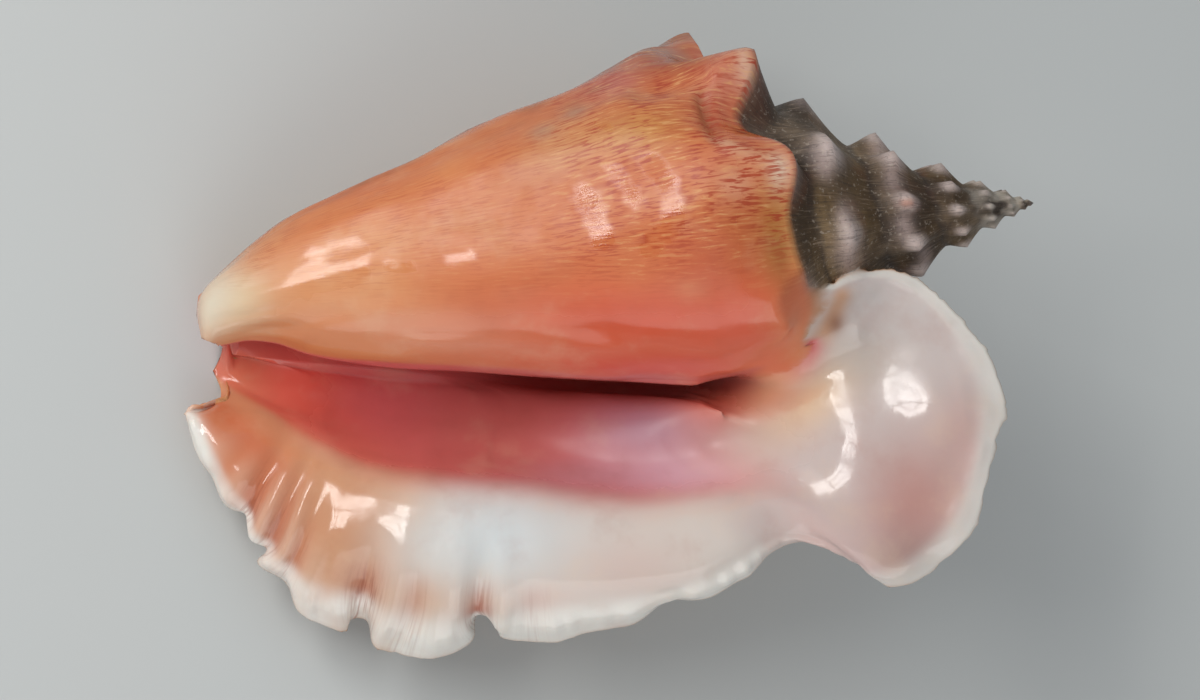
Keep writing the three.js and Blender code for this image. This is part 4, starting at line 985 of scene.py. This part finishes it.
# relief too fine for the mesh
grain = noise_node(scaled(flow, (0.16, 1.9, 0.0)), 1.0, 4.0, 0.6, 0.2)
ripple = noise_node(coords, 140.0, 3.0, 0.5)
height = math_node("ADD", math_node("MULTIPLY", math_node("MULTIPLY", grain, grow_out), 1.0), math_node("MULTIPLY", ripple, 0.25))
height = math_node("ADD", height, math_node("MULTIPLY", math_node("MULTIPLY", dash, streak_out), 0.25))
bump_node = nodes.new("ShaderNodeBump")
bump_node.inputs["Strength"].default_value = 0.5
bump_node.inputs["Distance"].default_value = 0.0006
links.new(height, bump_node.inputs["Height"])
links.new(bump_node.outputs["Normal"], bsdf.inputs["Normal"])
bsdf.inputs["IOR"].default_value = 1.55
bsdf.inputs["Specular IOR Level"].default_value = 0.45
bsdf.inputs["Subsurface Weight"].default_value = 0.06
bsdf.inputs["Subsurface Radius"].default_value = (1.0, 0.5, 0.35)
bsdf.inputs["Subsurface Scale"].default_value = 0.003
mesh.materials.append(mat)
mesh.shade_smooth()


# ---- stage ------------------------------------------------------------------------------------------
bpy.ops.mesh.primitive_plane_add(size=6)
floor = bpy.context.object
floor.name = "floor"
fm = bpy.data.materials.new("floor_paper")
fm.use_nodes = True
fm.node_tree.nodes["Principled BSDF"].inputs["Base Color"].default_value = (0.62, 0.64, 0.63, 1)
fm.node_tree.nodes["Principled BSDF"].inputs["Roughness"].default_value = 0.8
floor.data.materials.append(fm)


def photo_to_row(d):
    d = np.asarray(d, float)
    return d[0] * VIEW_RIGHT + d[1] * VIEW_UP + d[2] * VIEW_BACK


centre = VIEW_FROM - VIEW_BACK * VIEW_DISTANCE


def soft_box(name, direction, distance, size, power, colour, shift=(0.0, 0.0)):
    light = bpy.data.lights.new(name, "AREA")
    light.shape = "RECTANGLE"
    light.size, light.size_y = size
    light.energy = power
    light.color = colour
    o = bpy.data.objects.new(name, light)
    z = photo_to_row(direction)
    z /= np.linalg.norm(z)
    y = VIEW_UP - (VIEW_UP @ z) * z
    y /= np.linalg.norm(y)
    x = np.cross(y, z)
    at = (centre + z * distance * 1000) * 0.001 + x * shift[0] + y * shift[1]
    turn = Matrix.Identity(4)
    for c, axis in enumerate((x, y, z)):
        for r in range(3):
            turn[r][c] = axis[r]
    for r in range(3):
        turn[r][3] = at[r]
    o.matrix_world = turn
    bpy.context.scene.collection.objects.link(o)
    return o


for i, across in enumerate((-0.09, 0.0, 0.09)):
    for j, along in enumerate((-0.23, 0.23)):
        soft_box("pane_%d_%d" % (i, j), (-0.38, 0.41, 0.82), 1.1, (0.062, 0.42), 1.05, (1.0, 0.985, 0.96), (across, along))
soft_box("sky", (-0.55, 0.75, 0.75), 1.8, (1.3, 0.9), 4.2, (0.97, 0.98, 1.0))
soft_box("fill", (0.05, -0.95, 0.70), 1.5, (1.2, 1.2), 6.4, (1.0, 0.98, 0.97))
world = bpy.data.worlds.new("studio")
world.use_nodes = True
world.node_tree.nodes["Background"].inputs["Color"].default_value = (0.9, 0.95, 1.0, 1)
world.node_tree.nodes["Background"].inputs["Strength"].default_value = 0.34
bpy.context.scene.world = world
bpy.context.scene.view_settings.view_transform = "Standard"

camera_data = bpy.data.cameras.new("camera")
camera_data.sensor_width = 36
camera_data.lens = 36 * VIEW_DISTANCE / (1200 * VIEW_SCALE)
camera_data.clip_start = 0.01
camera = bpy.data.objects.new("camera", camera_data)
m = Matrix.Identity(4)
for c, axis in enumerate((VIEW_RIGHT, VIEW_UP, VIEW_BACK)):
    for r in range(3):
        m[r][c] = axis[r]
for r in range(3):
    m[r][3] = VIEW_FROM[r] * 0.001
camera.matrix_world = m
bpy.context.scene.collection.objects.link(camera)
bpy.context.scene.camera = camera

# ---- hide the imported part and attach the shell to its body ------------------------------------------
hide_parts("shell")
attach(shell, "root")
